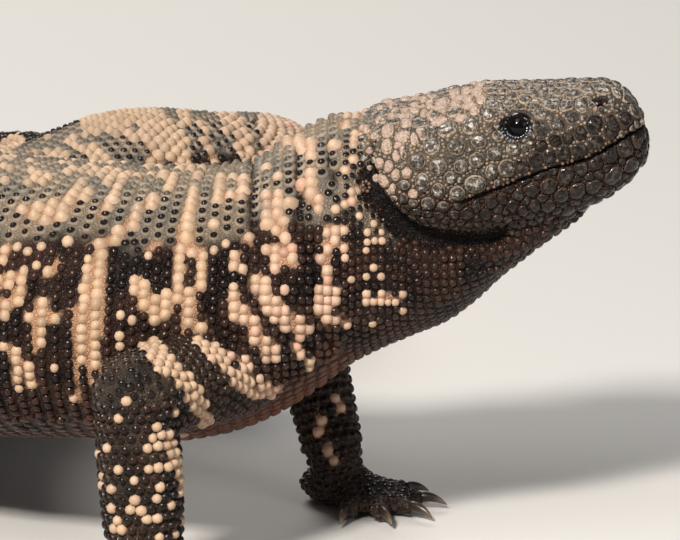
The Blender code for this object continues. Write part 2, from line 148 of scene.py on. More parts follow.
HEAD_STATIONS = (
    (4.2, 83.0, 14.0, 8.5, 7.0),
    (6.7, 83.0, 19.0, 9.9, 9.0),
    (11.2, 82.5, 21.9, 11.7, 11.8),
    (15.8, 82.5, 22.6, 12.5, 14.2),
    (22.5, 83.5, 22.2, 13.4, 16.4),
    (29.4, 84.5, 20.7, 14.5, 17.2),
    (37.5, 86.5, 18.0, 13.5, 16.6),
    (45.8, 88.5, 15.3, 12.4, 15.8),
    (51.9, 90.0, 13.3, 11.6, 14.3),
    (56.5, 90.5, 11.2, 10.9, 12.1),
    (60.6, 90.0, 8.2, 7.8, 7.8),
    (63.1, 88.8, 4.2, 3.2, 3.0),
)
HEAD_TURN_SLOPE = 0.16
HEAD_TURN_FROM = 8.0
HEAD_SQUARENESS = (2.8, 2.2)
LEGS = {
    "foreleg_right": {
        "root": (-20.0, -17.0, 43.0), "bend": (-41.6, -46.5, 45.5), "wrist": (-39.6, -49.0, 12.5),
        "heading": -12.0, "upper": (9.8, 9.6, 9.0), "lower": (8.2, 8.6, 8.4, 7.4), "size": 1.0,
    },
    "foreleg_left": {
        "root": (-16.0, 18.0, 45.0), "bend": (-8.0, 43.0, 38.0), "wrist": (-1.5, 31.0, 11.5),
        "heading": -38.0, "upper": (10.6, 10.0, 8.2), "lower": (7.3, 7.4, 6.9, 6.4), "size": 1.0,
    },
    "hindleg_left": {
        "root": (-48.0, 150.0, 35.0), "bend": (-33.4, 120.0, 33.0), "wrist": (-23.0, 122.5, 11.5),
        "heading": -114.0, "upper": (11.0, 10.8, 9.0), "lower": (8.0, 8.2, 7.4, 6.8), "size": 1.1,
    },
    "hindleg_right": {
        "root": (-58.0, 163.0, 35.0), "bend": (-81.0, 188.0, 33.0), "wrist": (-76.5, 198.5, 11.5),
        "heading": 184.0, "upper": (11.0, 10.8, 9.0), "lower": (8.0, 8.2, 7.4, 6.8), "size": 1.1,
    },
}
LEG_SHARES = (0.33, 0.7)
UPPER_SHARE = 0.55
DOME_TURNS = (20, 40, 58, 74)
PALM_LENGTH = 9.5
PALM_HALF_WIDTH = 7.4
PALM_HALF_HEIGHT = 4.4
PALM_HEIGHT = 3.8
PALM_REACHES = (-1.5, 4.3, 9.5)
PALM_TAPER = (0.85, 1.0, 0.8)
ANKLE_LENGTH = 4.0
ANKLE_TAPER = (1.0, 0.98, 0.93)
TOE_SPREAD = (58.0, 27.0, 0.0, -27.0, -58.0)
TOE_LENGTHS = (7.0, 9.6, 10.6, 9.8, 7.6)
TOE_RADIUS = 2.7
TOE_TAPER = (1.1, 1.0, 0.86)
TOE_HEIGHT = 2.35
TOE_ROOT = 5.5
TOE_START = 1.5
TOE_START_TURN = 0.5
KNUCKLE_RISE = 1.0
KNUCKLE_TURN = 0.9
KNUCKLE_SHARE = 0.6
BODY_COAT = 0.8
HEAD_COAT = 0.6
LEG_COAT = 0.7
FOOT_COAT = 0.45
SOLE_HEIGHT = 0.3
AXIS_REACH = 0.5
AXIS_SAMPLES = 120
GRID_STEP = 1.5
BODY_SIDES = 120
HEAD_GRID_STEP = 0.9
HEAD_SIDES = 110
LEG_SIDES = 44
PALM_SIDES = 32
TOE_GRID_STEP = 1.0
TOE_SIDES = 20
VOXEL = 1.28
SMOOTHING_ROUNDS = 14
SHRINK_SHARE = 0.55
SWELL_SHARE = -0.57


def smooth_track(rows):
    """A smooth curve through the rows, which starts at distance 0 along its first three columns."""
    rows = np.array(rows, float)
    steps = np.linalg.norm(np.diff(rows[:, :3], axis=0), axis=1)
    knots = np.concatenate(([0.0], np.cumsum(steps)))
    slopes = np.gradient(rows, knots, axis=0)

    def at(distance):
        distance = np.atleast_1d(np.asarray(distance, float))
        i = np.clip(np.searchsorted(knots, distance) - 1, 0, len(knots) - 2)
        span = (knots[i + 1] - knots[i])[:, None]
        t = (distance - knots[i])[:, None] / span
        near = (1 + 2 * t) * (1 - t) ** 2
        out = t * (1 - t) ** 2
        back = t * t * (t - 1)
        return near * rows[i] + (1 - near) * rows[i + 1] + span * (out * slopes[i] + back * slopes[i + 1])

    return at, knots


def section(turn, half_width, above, below, squareness):
    """Points of a closed section: across, and up from its widest level."""
    across, rise = np.cos(turn), np.sin(turn)
    power = np.where(rise > 0, 2 / squareness[0], 2 / squareness[1])
    reach = np.where(rise > 0, above, below)
    return (np.copysign(np.abs(across) ** power, across) * half_width,
            np.copysign(np.abs(rise) ** power, rise) * reach)


body_track, body_knots = smooth_track(THROAT_STATIONS + NECK_STATIONS + TRUNK_STATIONS + TAIL_STATIONS)
BODY_LENGTH = body_knots[-1]
TAIL_START = body_knots[len(body_knots) - len(TAIL_STATIONS)]
head_track, head_knots = smooth_track([
    (x, -HEAD_TURN_SLOPE * max(0.0, x - HEAD_TURN_FROM), level, half, above, below)
    for x, level, half, above, below in HEAD_STATIONS])


def body_axis(distance):
    """The body's rows at the distances, and the way ahead there, seen from above."""
    distance = np.asarray(distance)
    ahead = body_track(distance + AXIS_REACH)[:, :2] - body_track(distance - AXIS_REACH)[:, :2]
    return body_track(distance), ahead / np.linalg.norm(ahead, axis=1)[:, None]


def body_surface(distance, turn, grow):
    """Points of the body's surface, grown outwards by a length."""
    rows, ahead = body_axis(distance)
    x, y, level, half, above, below = rows.T
    across, rise = section(turn, half + grow, above + grow, below + grow, (BODY_SQUARENESS,) * 2)
    return np.stack((x - across * ahead[:, 1], y + across * ahead[:, 0], level + rise), 1)


def head_surface(distance, turn, grow):
    """Points of the head's surface, grown outwards by a length."""
    x, y, level, half, above, below = head_track(distance).T
    across, rise = section(turn, half + grow, above + grow, below + grow, HEAD_SQUARENESS)
    return np.stack((x, y + across, level + rise), 1)


def limb_axis(points, radii):
    """A limb's smooth path, as a function that gives its centre, radius and two cross directions."""
    track, knots = smooth_track([(*point, radius) for point, radius in zip(points, radii)])
    total = knots[-1]
    fine = np.linspace(0.0, total, AXIS_SAMPLES)
    ahead = (track(np.minimum(fine + AXIS_REACH, total)) - track(np.maximum(fine - AXIS_REACH, 0.0)))[:, :3]
    ahead /= np.linalg.norm(ahead, axis=1)[:, None]
    across = np.empty_like(ahead)
    across[0] = np.cross(ahead[0], (0.0, 0.0, 1.0))
    if np.linalg.norm(across[0]) < 0.3:
        across[0] = np.cross(ahead[0], (1.0, 0.0, 0.0))
    for i in range(1, len(fine)):
        across[i] = across[i - 1] - ahead[i] * (across[i - 1] @ ahead[i])
    across /= np.linalg.norm(across, axis=1)[:, None]

    def at(distance):
        inside = np.clip(distance, 0.0, total)
        i = np.rint(inside / total * (len(fine) - 1)).astype(int)
        rows = track(inside)
        return rows[:, :3], rows[:, 3], ahead[i], across[i], np.cross(across[i], ahead[i])

    return at, total


def limb_grid(points, radii, sides, step, grow, flatten=1.0, round_start=True):
    """Rings of points round a limb, domed at its far end and, where asked, at its near one."""
    at, total = limb_axis(points, radii)
    stops = [(distance, 0.0, 1.0) for distance in np.linspace(0.0, total, max(3, round(total / step)))]
    dome = [(math.sin(math.radians(turn)), math.cos(math.radians(turn))) for turn in DOME_TURNS]
    stops += [(total, out, narrow) for out, narrow in dome]
    if round_start:
        stops = [(0.0, -out, narrow) for out, narrow in reversed(dome)] + stops
    distance, out, narrow = np.array(stops).T
    centre, radius, ahead, across, rise = at(distance)
    radius = radius + grow
    centre = centre + ahead * (out * radius)[:, None]
    turn = np.linspace(0.0, 2 * math.pi, sides, endpoint=False)
    reach = (radius * narrow)[:, None, None]
    return centre[:, None] + reach * (np.cos(turn)[None, :, None] * across[:, None]
                                      + flatten * np.sin(turn)[None, :, None] * rise[:, None])


def between(a, b, share):
    """The place at a share of the way from a to b."""
    return tuple(np.array(a) * (1 - share) + np.array(b) * share)


def leg_points(leg):
    """The path points of a leg's upper and lower lengths."""
    root, bend, wrist = leg["root"], leg["bend"], leg["wrist"]
    return (root, between(root, bend, UPPER_SHARE), bend), (
        bend, *(between(bend, wrist, share) for share in LEG_SHARES), wrist)


def stride(heading, forward, height):
    """A step along the floor at a heading, raised by the height."""
    angle = math.radians(heading)
    return np.array((forward * math.cos(angle), forward * math.sin(angle), height))


def toe_points(leg, i):
    """A toe's points: out of the palm, over the knuckle and down to its tip."""
    size, heading, spread = leg["size"], leg["heading"], TOE_SPREAD[i]
    root = np.array((*leg["wrist"][:2], 0.0)) + stride(heading, TOE_ROOT * size, 0.0)
    length = (PALM_LENGTH - TOE_ROOT + TOE_LENGTHS[i]) * size
    return (root + stride(heading + spread * TOE_START_TURN, TOE_START, TOE_HEIGHT + KNUCKLE_RISE),
            root + stride(heading + spread * KNUCKLE_TURN, length * KNUCKLE_SHARE,
                          TOE_HEIGHT + KNUCKLE_RISE),
            root + stride(heading + spread, length, TOE_HEIGHT))


def foot_grids(leg):
    """The ankle, the palm and the five toes of one foot."""
    size = leg["size"]
    _, lower = leg_points(leg)
    wrist = np.array(leg["wrist"])
    lower_axis, lower_length = limb_axis(lower, leg["lower"])
    down = lower_axis(np.array([lower_length]))[2][0]
    heel = wrist + down * ANKLE_LENGTH
    grids = [limb_grid((wrist, (wrist + heel) / 2, heel),
                       [leg["lower"][-1] * share for share in ANKLE_TAPER], PALM_SIDES, GRID_STEP,
                       -LEG_COAT)]
    ground = np.array((*leg["wrist"][:2], 0.0))
    palm = [ground + stride(leg["heading"], reach * size, PALM_HEIGHT) for reach in PALM_REACHES]
    grids.append(limb_grid(palm, [PALM_HALF_WIDTH * share * size for share in PALM_TAPER], PALM_SIDES,
                           GRID_STEP, -FOOT_COAT, PALM_HALF_HEIGHT / PALM_HALF_WIDTH))
    for i in range(len(TOE_LENGTHS)):
        grids.append(limb_grid(toe_points(leg, i), [TOE_RADIUS * share * size for share in TOE_TAPER],
                               TOE_SIDES, TOE_GRID_STEP, -FOOT_COAT))
    return grids


def band(low, high, sides):
    """Faces between two rings of vertices, each given by its first index."""
    return [(low + k, low + (k + 1) % sides, high + (k + 1) % sides, high + k) for k in range(sides)]


def cap(ring, hub, sides):
    """Triangles from a ring of vertices to the hub over it."""
    return [(ring + k, ring + (k + 1) % sides, hub) for k in range(sides)]


def shell(grid):
    """Vertices and faces of a closed skin over rings, with a hub at each end."""
    rings, sides = grid.shape[:2]
    vertices = np.concatenate((grid.reshape(-1, 3), [grid[0].mean(0)], [grid[-1].mean(0)]))
    faces = [face for r in range(rings - 1) for face in band(r * sides, (r + 1) * sides, sides)]
    first_hub = rings * sides
    faces += [((k + 1) % sides, k, first_hub) for k in range(sides)]
    faces += cap((rings - 1) * sides, first_hub + 1, sides)
    return vertices, faces


def surface_grid(surface, knots, step, sides, grow):
    """Rings of points on the body or the head, about a step apart."""
    distance = np.linspace(0.0, knots[-1], round(knots[-1] / step))
    turn = 2 * math.pi * (np.arange(sides) + 0.5) / sides
    d, t = np.meshgrid(distance, turn, indexing="ij")
    return surface(d.ravel(), t.ravel(), grow).reshape(len(distance), sides, 3)


part_grids = {
    "body": [surface_grid(body_surface, body_knots, GRID_STEP, BODY_SIDES, -BODY_COAT)],
    "head": [surface_grid(head_surface, head_knots, HEAD_GRID_STEP, HEAD_SIDES, -HEAD_COAT)],
}
for leg_name, leg in LEGS.items():
    upper, lower = leg_points(leg)
    part_grids[leg_name + "_upper"] = [limb_grid(upper, leg["upper"], LEG_SIDES, GRID_STEP, -LEG_COAT)]
    part_grids[leg_name + "_lower"] = [limb_grid(lower, leg["lower"], LEG_SIDES, GRID_STEP, -LEG_COAT)]
    part_grids[leg_name + "_foot"] = foot_grids(leg)
PART_NAMES = list(part_grids)


def new_object(name, vertices, faces):
    """A mesh object from working millimetres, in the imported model's frame."""
    mesh = bpy.data.meshes.new(name)
    mesh.from_pydata(placed(vertices).tolist(), [], faces)
    made = bpy.data.objects.new(name, mesh)
    bpy.context.scene.collection.objects.link(made)
    return made


def plain_mesh(item):
    """The object's evaluated mesh as its only mesh, with no modifier left."""
    graph = bpy.context.evaluated_depsgraph_get()
    mesh = bpy.data.meshes.new_from_object(item.evaluated_get(graph))
    item.modifiers.clear()
    old = item.data
    item.data = mesh
    if old.users == 0:
        bpy.data.meshes.remove(old)


def working_points(mesh):
    """The mesh's vertices in working millimetres."""
    co = np.empty(len(mesh.vertices) * 3, np.float32)
    mesh.vertices.foreach_get("co", co)
    return (co.reshape(-1, 3).astype(float) - ORIGIN) / MM


def set_points(mesh, points):
    """Moves the mesh's vertices to working millimetres."""
    mesh.vertices.foreach_set("co", placed(points).astype(np.float32).ravel())
    mesh.update()


def vertex_normals(mesh):
    """The smooth normals of the mesh's vertices."""
    normals = np.empty(len(mesh.vertices) * 3, np.float32)
    mesh.vertex_normals.foreach_get("vector", normals)
    return normals.reshape(-1, 3).astype(float)


def relaxed(mesh, points, rounds, mask=None):
    """Points smoothed along the mesh's edges without shrinking the shape."""
    ends = np.empty(len(mesh.edges) * 2, np.int32)
    mesh.edges.foreach_get("vertices", ends)
    a, b = ends.reshape(-1, 2).T
    count = np.maximum(np.bincount(np.concatenate((a, b)), minlength=len(points)), 1)
    weight = np.ones(len(points)) if mask is None else mask
    for i in range(rounds * 2):
        share = SHRINK_SHARE if i % 2 == 0 else SWELL_SHARE
        sums = [np.bincount(a, points[b, c], len(points)) + np.bincount(b, points[a, c], len(points))
                for c in range(3)]
        mean = np.stack(sums, 1) / count[:, None]
        points = points + (mean - points) * (share * weight)[:, None]
    return points


skin_vertices, skin_faces = [], []
label_points, label_parts = [], []
for part, grids in part_grids.items():
    for grid in grids:
        vertices, faces = shell(grid)
        shift = sum(len(v) for v in skin_vertices)
        skin_vertices.append(vertices)
        skin_faces += [tuple(c + shift for c in face) for face in faces]
        label_points.append(vertices)
        label_parts += [PART_NAMES.index(part)] * len(vertices)
skin = new_object("skin", np.concatenate(skin_vertices), skin_faces)
fusing = skin.modifiers.new("fusing", "REMESH")
fusing.mode = "VOXEL"
fusing.voxel_size = VOXEL * MM
fusing.adaptivity = 0.0
plain_mesh(skin)
points = relaxed(skin.data, working_points(skin.data), SMOOTHING_ROUNDS)
set_points(skin.data, points)


def point_tree(places):
    """A search tree that finds the nearest of the places."""
    made = KDTree(len(places))
    for i, place in enumerate(places):
        made.insert(place, i)
    made.balance()
    return made


label_tree = point_tree(np.concatenate(label_points))


def parts_of(points):
    """The index in PART_NAMES of the part that each point lies on."""
    return np.array([label_parts[label_tree.find(point)[1]] for point in points])


HEAD_PART = PART_NAMES.index("head")
BODY_PART = PART_NAMES.index("body")
AXIS_STEP = 1.0
axis_distances = np.arange(0.0, BODY_LENGTH, AXIS_STEP)
axis_tree = point_tree([(row[0], row[1], 0.0) for row in body_track(axis_distances)])


def body_place(points):
    """Distance along the body, turn from the midline of the back, right side positive, and height share."""
    distance = axis_distances[[axis_tree.find((x, y, 0.0))[1] for x, y in points[:, :2]]]
    rows, ahead = body_axis(distance)
    away = points[:, :2] - rows[:, :2]
    across = away[:, 1] * ahead[:, 0] - away[:, 0] * ahead[:, 1]
    rise = points[:, 2] - rows[:, 2]
    reach = np.where(rise > 0, rows[:, 4], rows[:, 5])
    return distance, np.arctan2(across / rows[:, 3], rise / reach), rise / reach


def ramp(low, high, value):
    """A smooth step from 0 at low to 1 at high."""
    t = np.clip((value - low) / (high - low), 0.0, 1.0)
    return t * t * (3 - 2 * t)


def unit(vectors):
    """The vectors at length 1."""
    return vectors / np.maximum(np.linalg.norm(vectors, axis=-1, keepdims=True), 1e-9)


def line_distance(points, line):
    """How far each point is from a line through given places."""
    line = np.asarray(line, float)
    if len(line) == 1:
        return np.linalg.norm(points - line[0], axis=1)
    best = np.full(len(points), 1e9)
    for start, end in zip(line[:-1], line[1:]):
        way = end - start
        share = np.clip((points - start) @ way / (way @ way), 0.0, 1.0)
        best = np.minimum(best, np.linalg.norm(points - start - share[:, None] * way, axis=1))
    return best


def refined(mesh, chosen):
    """Splits every edge whose two ends are chosen."""
    shape = bmesh.new()
    shape.from_mesh(mesh)
    edges = [e for e in shape.edges if chosen[e.verts[0].index] and chosen[e.verts[1].index]]
    bmesh.ops.subdivide_edges(shape, edges=edges, cuts=1, use_grid_fill=True)
    shape.to_mesh(mesh)
    shape.free()


def surface_tree(mesh, points):
    """A search tree over the mesh's faces, with its vertices at the points."""
    return BVHTree.FromPolygons([tuple(p) for p in points], [tuple(f.vertices) for f in mesh.polygons])


# The mouth runs from the snout back and down to its corner, given as x and height. Each eye sits in
# round lids under a low brow, and each nostril is a small pit.
MOUTH_LINE = (
    (70.0, 93.2), (61.2, 93.3), (58.3, 92.4), (56.0, 90.9), (50.5, 88.2), (43.0, 86.4), (34.0, 83.4),
    (24.8, 80.2),
)
MOUTH_CORNER = 24.8
LIP_DEPTH = 1.2
LIP_WIDTH = 0.36
LIP_STEP = 0.3
LIP_STEP_WIDTH = 0.6
LIP_STEP_FADE = 4.0
EYE_RADIUS = 2.9
EYE_AXIS_RIGHT = (-0.3, -0.93, 0.22)
EYE_LEFT_CENTRE = (36.7, 9.008, 94.9)
LID_OPENING = 2.2
LID_HEIGHT = 1.95
LID_RIM_RADIUS = 2.7
LID_RIM_HEIGHT = 0.3
SOCKET_DEPTH = 0.9
LID_REACH = 3.2
BROW_RADIUS = 5.0
EYE_ZONE = 9.0
BROW_HEIGHT = 0.55
WRINKLE_START = 3.1
WRINKLE_PITCH = 0.75
WRINKLE_DEPTH = 0.2
NOSTRIL_SPOT = (600.5, 100.0)
NOSTRIL_RADIUS = 1.5
NOSTRIL_DEPTH = 2.4
# Creases of the hide on the side that the photo shows: depth and width in mm, then photo pixels.
CREASES = (
    (1.3, 1.0, (252, 160), (254, 185), (252, 212), (254, 240)),
    (1.2, 0.9, (298, 148), (297, 175), (299, 200), (298, 225), (306, 243), (312, 262)),
    (0.9, 0.8, (327, 140), (330, 165), (333, 188)),
    (1.3, 1.0, (243, 264), (252, 290), (268, 320), (290, 340), (312, 350)),
    (1.0, 1.0, (313, 240), (318, 270), (312, 300), (318, 330), (332, 348)),
    (1.2, 1.2, (204, 295), (214, 322), (226, 345)),
    (2.6, 0.9, (373, 142), (369, 156), (366, 172)),
    (3.0, 2.3, (369, 174), (374, 192), (383, 207), (397, 223), (416, 236), (448, 243), (481, 244),
     (500, 238)),
    (0.8, 0.8, (398, 262), (440, 266), (486, 268), (530, 250)),
)
CREASE_SAMPLES = 6
FULL_CREASE = 1.6
CHEEK_FOLD_DEPTH = 3.1
CHEEK_FOLD_WIDTH = 2.2
CHEEK_FOLD_END = 17.0
CHEEK_FOLD_FADE = 12.0
CHEEK_FOLD_LEVELS = (88.0, 80.0)
CHEEK_FOLD_START = -6
CHEEK_FOLD_LOWEST = 55
CHEEK_FOLD_FARTHEST = 60
FINE_HEAD_FROM = 4
FINE_EYE_REACH = 7.0
FINE_MOUTH_REACH = 1.3
LOWEST_MOUTH = 76

head_centre = head_track(np.linspace(0.0, head_knots[-1], 60))


def head_middle(points):
    """The head's midline, as a y for each point."""
    return np.interp(points[:, 0], head_centre[:, 0], head_centre[:, 1])


def mirrored(points):
    """Points on the head or neck moved to the animal's other side."""
    other = np.array(points, float)
    other[:, 1] = 2 * head_middle(other) - other[:, 1]
    return other


def above_mouth(points):
    """Height over the mouth line, as a distance square to the line."""
    line = np.array(MOUTH_LINE)[::-1]
    slope = np.gradient(line[:, 1], line[:, 0])
    height = points[:, 2] - np.interp(points[:, 0], line[:, 0], line[:, 1])
    return height / np.sqrt(1 + np.interp(points[:, 0], line[:, 0], slope) ** 2)


eye_axis_right = unit(np.array(EYE_AXIS_RIGHT))
EYES = {
    "eye_right": (np.array(EYE_CENTRE), eye_axis_right),
    "eye_left": (np.array(EYE_LEFT_CENTRE), eye_axis_right * (1, -1, 1)),
}


def eye_polar(points, centre, axis):
    """Height over the eye's centre, distance from its axis, and share of that distance upwards."""
    rel = points - centre
    along = rel @ axis
    flat = rel - along[:, None] * axis
    up = unit(np.array((0.0, 0.0, 1.0)) - axis * axis[2])
    away = np.linalg.norm(flat, axis=1)
    return along, away, flat @ up / np.maximum(away, 1e-6)


parts = parts_of(points)
on_head = (parts == HEAD_PART) & (points[:, 0] > FINE_HEAD_FROM)
refined(skin.data, on_head)
points = working_points(skin.data)
near_detail = np.zeros(len(points), bool)
for centre, _ in EYES.values():
    near_detail |= np.linalg.norm(points - centre, axis=1) < FINE_EYE_REACH
beside_line = (np.abs(above_mouth(points)) < FINE_MOUTH_REACH) & (points[:, 2] > LOWEST_MOUTH)
near_detail |= beside_line & (points[:, 0] > MOUTH_CORNER - 1)
refined(skin.data, near_detail)
points = working_points(skin.data)
parts = parts_of(points)
on_head = (parts == HEAD_PART) & (points[:, 0] > FINE_HEAD_FROM)
points = relaxed(skin.data, points, 3, on_head.astype(float))
set_points(skin.data, points)
hide_tree = surface_tree(skin.data, points)


def under_spots(spots):
    """Where the sight lines through photo pixels first meet the hide."""
    found = []
    for spot in spots:
        place, way = sight_line(spot)
        hit = hide_tree.ray_cast(place, way)[0]
        if hit is not None:
            found.append(np.array(hit))
    return np.array(found)


normals = vertex_normals(skin.data)
push = np.zeros(len(points))
# The share of painted shade on each vertex: the creases, the fold behind the cheek, the mouth line, the
# nostrils and the lids are painted dark.
crease_shade = np.zeros(len(points))
for depth, width, *spots in CREASES:
    lengths = [np.linspace(a, b, CREASE_SAMPLES)[:-1] for a, b in zip(spots[:-1], spots[1:])]
    line = under_spots(np.concatenate(lengths + [[spots[-1]]]))
    for path in (line, mirrored(line)):
        close = np.exp(-(line_distance(points, path) / width) ** 2)
        push = np.minimum(push, -depth * close)
        crease_shade = np.maximum(crease_shade, close * min(1.0, depth / FULL_CREASE))
# The fold behind the cheek runs where the head's and the neck's own surfaces meet.
front = np.flatnonzero((points[:, 0] > CHEEK_FOLD_START) & (points[:, 2] > CHEEK_FOLD_LOWEST)
                       & (points[:, 1] < CHEEK_FOLD_FARTHEST))
body_shell, head_shell = (BVHTree.FromPolygons(*[list(map(tuple, s)) for s in shell(part_grids[name][0])])
                          for name in ("body", "head"))
both = np.array([(body_shell.find_nearest(p)[3] ** 2 + head_shell.find_nearest(p)[3] ** 2) ** 0.5
                 for p in points[front]])
fold = np.exp(-(both / CHEEK_FOLD_WIDTH) ** 2) * ramp(*CHEEK_FOLD_LEVELS, points[front, 2])
fold *= ramp(CHEEK_FOLD_END, CHEEK_FOLD_END - CHEEK_FOLD_FADE, points[front, 0])
push[front] = np.minimum(push[front], -CHEEK_FOLD_DEPTH * fold)
# The fold behind the cheek is painted near black: painted shade.
crease_shade[front] = np.maximum(crease_shade[front], np.minimum(1.0, 1.15 * fold))

over_mouth = above_mouth(points)
mouth_zone = ramp(MOUTH_CORNER - 1.0, MOUTH_CORNER + 2.0, points[:, 0]) * on_head
lips = mouth_zone * np.exp(-(over_mouth / LIP_WIDTH) ** 2)
push -= LIP_DEPTH * lips
lip_step = np.tanh(over_mouth / LIP_STEP_WIDTH) * np.exp(-np.abs(over_mouth) / LIP_STEP_FADE)
push += mouth_zone * LIP_STEP * lip_step
# The mouth's groove and, below, the nostril pits are painted dark: painted shade.
crease_shade = np.maximum(crease_shade, lips)
nostril = under_spots([NOSTRIL_SPOT])
for place in (nostril[0], mirrored(nostril)[0]):
    pit = np.exp(-(np.linalg.norm(points - place, axis=1) / NOSTRIL_RADIUS) ** 4)
    push -= NOSTRIL_DEPTH * pit
    crease_shade = np.maximum(crease_shade, pit)
points = points + normals * push[:, None]
points = relaxed(skin.data, points, 2, ramp(0.15, 0.5, crease_shade) * (lips < 0.05))

for centre, axis in EYES.values():
    height, away, up = eye_polar(points, centre, axis)
    ball = np.sqrt(np.maximum(EYE_RADIUS ** 2 - away ** 2, 0.0))
    lid = LID_HEIGHT + LID_RIM_HEIGHT * np.exp(-((away - LID_RIM_RADIUS) / 0.5) ** 2)
    inside = ramp(LID_OPENING - 0.05, LID_OPENING + 0.2, away)
    goal = (ball - SOCKET_DEPTH) * (1 - inside) + lid * inside
    share = (1 - ramp(LID_REACH, BROW_RADIUS, away)) * (height > 0)
    brow = BROW_HEIGHT * np.exp(-((away - BROW_RADIUS) / 1.2) ** 2) * np.maximum(up, 0.0) ** 2
    wrinkle = WRINKLE_DEPTH * np.cos((away - WRINKLE_START) * 2 * math.pi / WRINKLE_PITCH)
    wrinkle *= np.maximum(up, 0.0)
    wrinkle *= ramp(BROW_RADIUS, 3.4, away)
    wrinkle *= ramp(LID_RIM_RADIUS, WRINKLE_START, away)
    near = (away < EYE_ZONE) & (height > 0)
    change = (goal - height) * share + (brow + wrinkle)
    points[near] += axis * change[near, None]
    # The lid margin and the troughs of the lid's wrinkles are painted dark: painted shade.
    ring = ramp(0.85, 0.35, away - LID_OPENING - 0.9 * (1 - up ** 2) ** 2) * ramp(1.0, 0.2, up)
    ring = np.maximum(ring, 0.6 * ramp(0.05, 0.2, -wrinkle))
    crease_shade[near] = np.maximum(crease_shade, np.maximum(ring, (away < LID_OPENING + 0.25).astype(float)))[near]
points[:, 2] = np.maximum(points[:, 2], SOLE_HEIGHT)
set_points(skin.data, points)
skin.data.shade_smooth()
normals = vertex_normals(skin.data)
hide_tree = surface_tree(skin.data, points)

# Pale marks, as strokes of the photo's pixels: width, then the places that the stroke runs through.
BACK_STROKES = (
    (20, (30, 212), (52, 214), (70, 203), (78, 192)),
    (11, (94, 246), (118, 238), (129, 222), (141, 209), (157, 199)),
    (8, (98, 215), (108, 202), (118, 192)), (14, (192, 196), (190, 210), (187, 225), (184, 240)),
    (14, (217, 195), (240, 195)), (14, (220, 183), (244, 183)), (9, (60, 262), (49, 273)),
    (10, (150, 247), (158, 244)), (9, (0, 262), (8, 244)),
)
FLANK_STROKES = (
    (12, (98, 243), (101, 262), (98, 285), (99, 310), (99, 332)),
    (13, (92, 266), (88, 290), (88, 315), (89, 340), (93, 368)), (13, (76, 309), (77, 330), (79, 352)),
    (9, (74, 362), (79, 378)), (9, (85, 362), (92, 380), (95, 385)), (8, (97, 360), (103, 377)),
    (8, (80, 390), (76, 400)), (12, (0, 283), (10, 278), (21, 276)),
    (13, (2, 302), (16, 300), (20, 290)), (9, (0, 316), (6, 310)), (14, (41, 302), (40, 310)),
    (16, (33, 315), (52, 316)), (11, (37, 325), (37, 347)), (10, (8, 350), (18, 360), (16, 380)),
    (10, (28, 366), (31, 384)), (22, (186, 225), (184, 244)),
    (10, (181, 248), (180, 270), (178, 290), (172, 300)),
    (9, (200, 252), (201, 270), (198, 288), (188, 298)), (10, (190, 228), (193, 245), (199, 257)),
    (12, (139, 281), (140, 298), (147, 310)), (12, (148, 296), (155, 312), (157, 318)),
    (12, (163, 300), (166, 310), (173, 303)), (9, (184, 298), (184, 318), (181, 335)),
    (9, (193, 300), (192, 322), (196, 337)), (8, (201, 322), (203, 338)),
)
NECK_STROKES = (
    (17, (277, 200), (273, 215), (280, 231)), (9, (283, 205), (290, 205)), (12, (308, 171), (312, 180)),
    (19, (309, 188), (315, 200)), (13, (273, 251), (290, 251)), (13, (276, 263), (294, 262)),
    (13, (291, 143), (308, 145), (307, 153)), (9, (246, 233), (250, 243)),
    (10, (238, 257), (232, 264), (240, 268)), (13, (326, 231), (345, 229)),
    (13, (324, 245), (342, 246)), (9, (319, 255), (331, 258)), (9, (324, 264), (327, 282)),
    (10, (322, 290), (338, 289)), (8, (318, 298), (321, 314)), (9, (335, 298), (330, 308)),
    (9, (328, 322), (338, 318), (346, 323)), (9, (352, 142), (358, 133), (366, 130)),
    (11, (352, 116), (376, 107)), (10, (345, 203), (352, 193), (357, 188)), (9, (352, 156), (353, 160)),
    (9, (341, 125), (347, 124)), (9, (333, 146), (332, 150)), (8, (343, 168), (344, 171)),
)
SHOULDER_STROKES = (
    (17, (233, 297), (240, 312), (252, 325), (262, 345), (271, 352)),
    (17, (257, 281), (264, 295), (275, 308), (290, 322), (302, 331)),
    (9, (293, 342), (303, 355), (310, 365)),
    (19, (149, 348), (163, 362), (178, 375), (190, 388), (198, 402), (203, 416)),
    (17, (200, 343), (214, 352), (230, 362), (243, 372)), (11, (226, 370), (236, 380), (240, 389)),
    (8, (248, 362), (247, 390)), (12, (250, 394), (264, 391), (279, 388)), (8, (366, 298), (400, 298)),
    (7, (166, 430), (172, 450), (177, 470), (182, 495)), (9, (318, 410), (322, 430)),
    (9, (338, 398), (341, 414)), (9, (328, 446), (334, 462)),
)
REAR_STROKES = (
    (13, (4, 147), (20, 142)),
    (22, (92, 126), (120, 117), (148, 116), (165, 130), (177, 146), (184, 168)),
    (12, (120, 130), (140, 137), (153, 150), (160, 168)), (12, (70, 143), (84, 150), (104, 156)),
    (11, (185, 110), (184, 122)), (10, (200, 124), (206, 140), (216, 162)),
    (17, (222, 114), (238, 130), (246, 150), (256, 168)), (27, (270, 126), (288, 126)),
    (15, (272, 145), (262, 168)), (22, (318, 128), (340, 140)),
)
DARK_HOLES = ((9, (233, 188)), (7, (326, 298)), (8, (230, 366)), (12, (188, 262)), (11, (187, 278)))
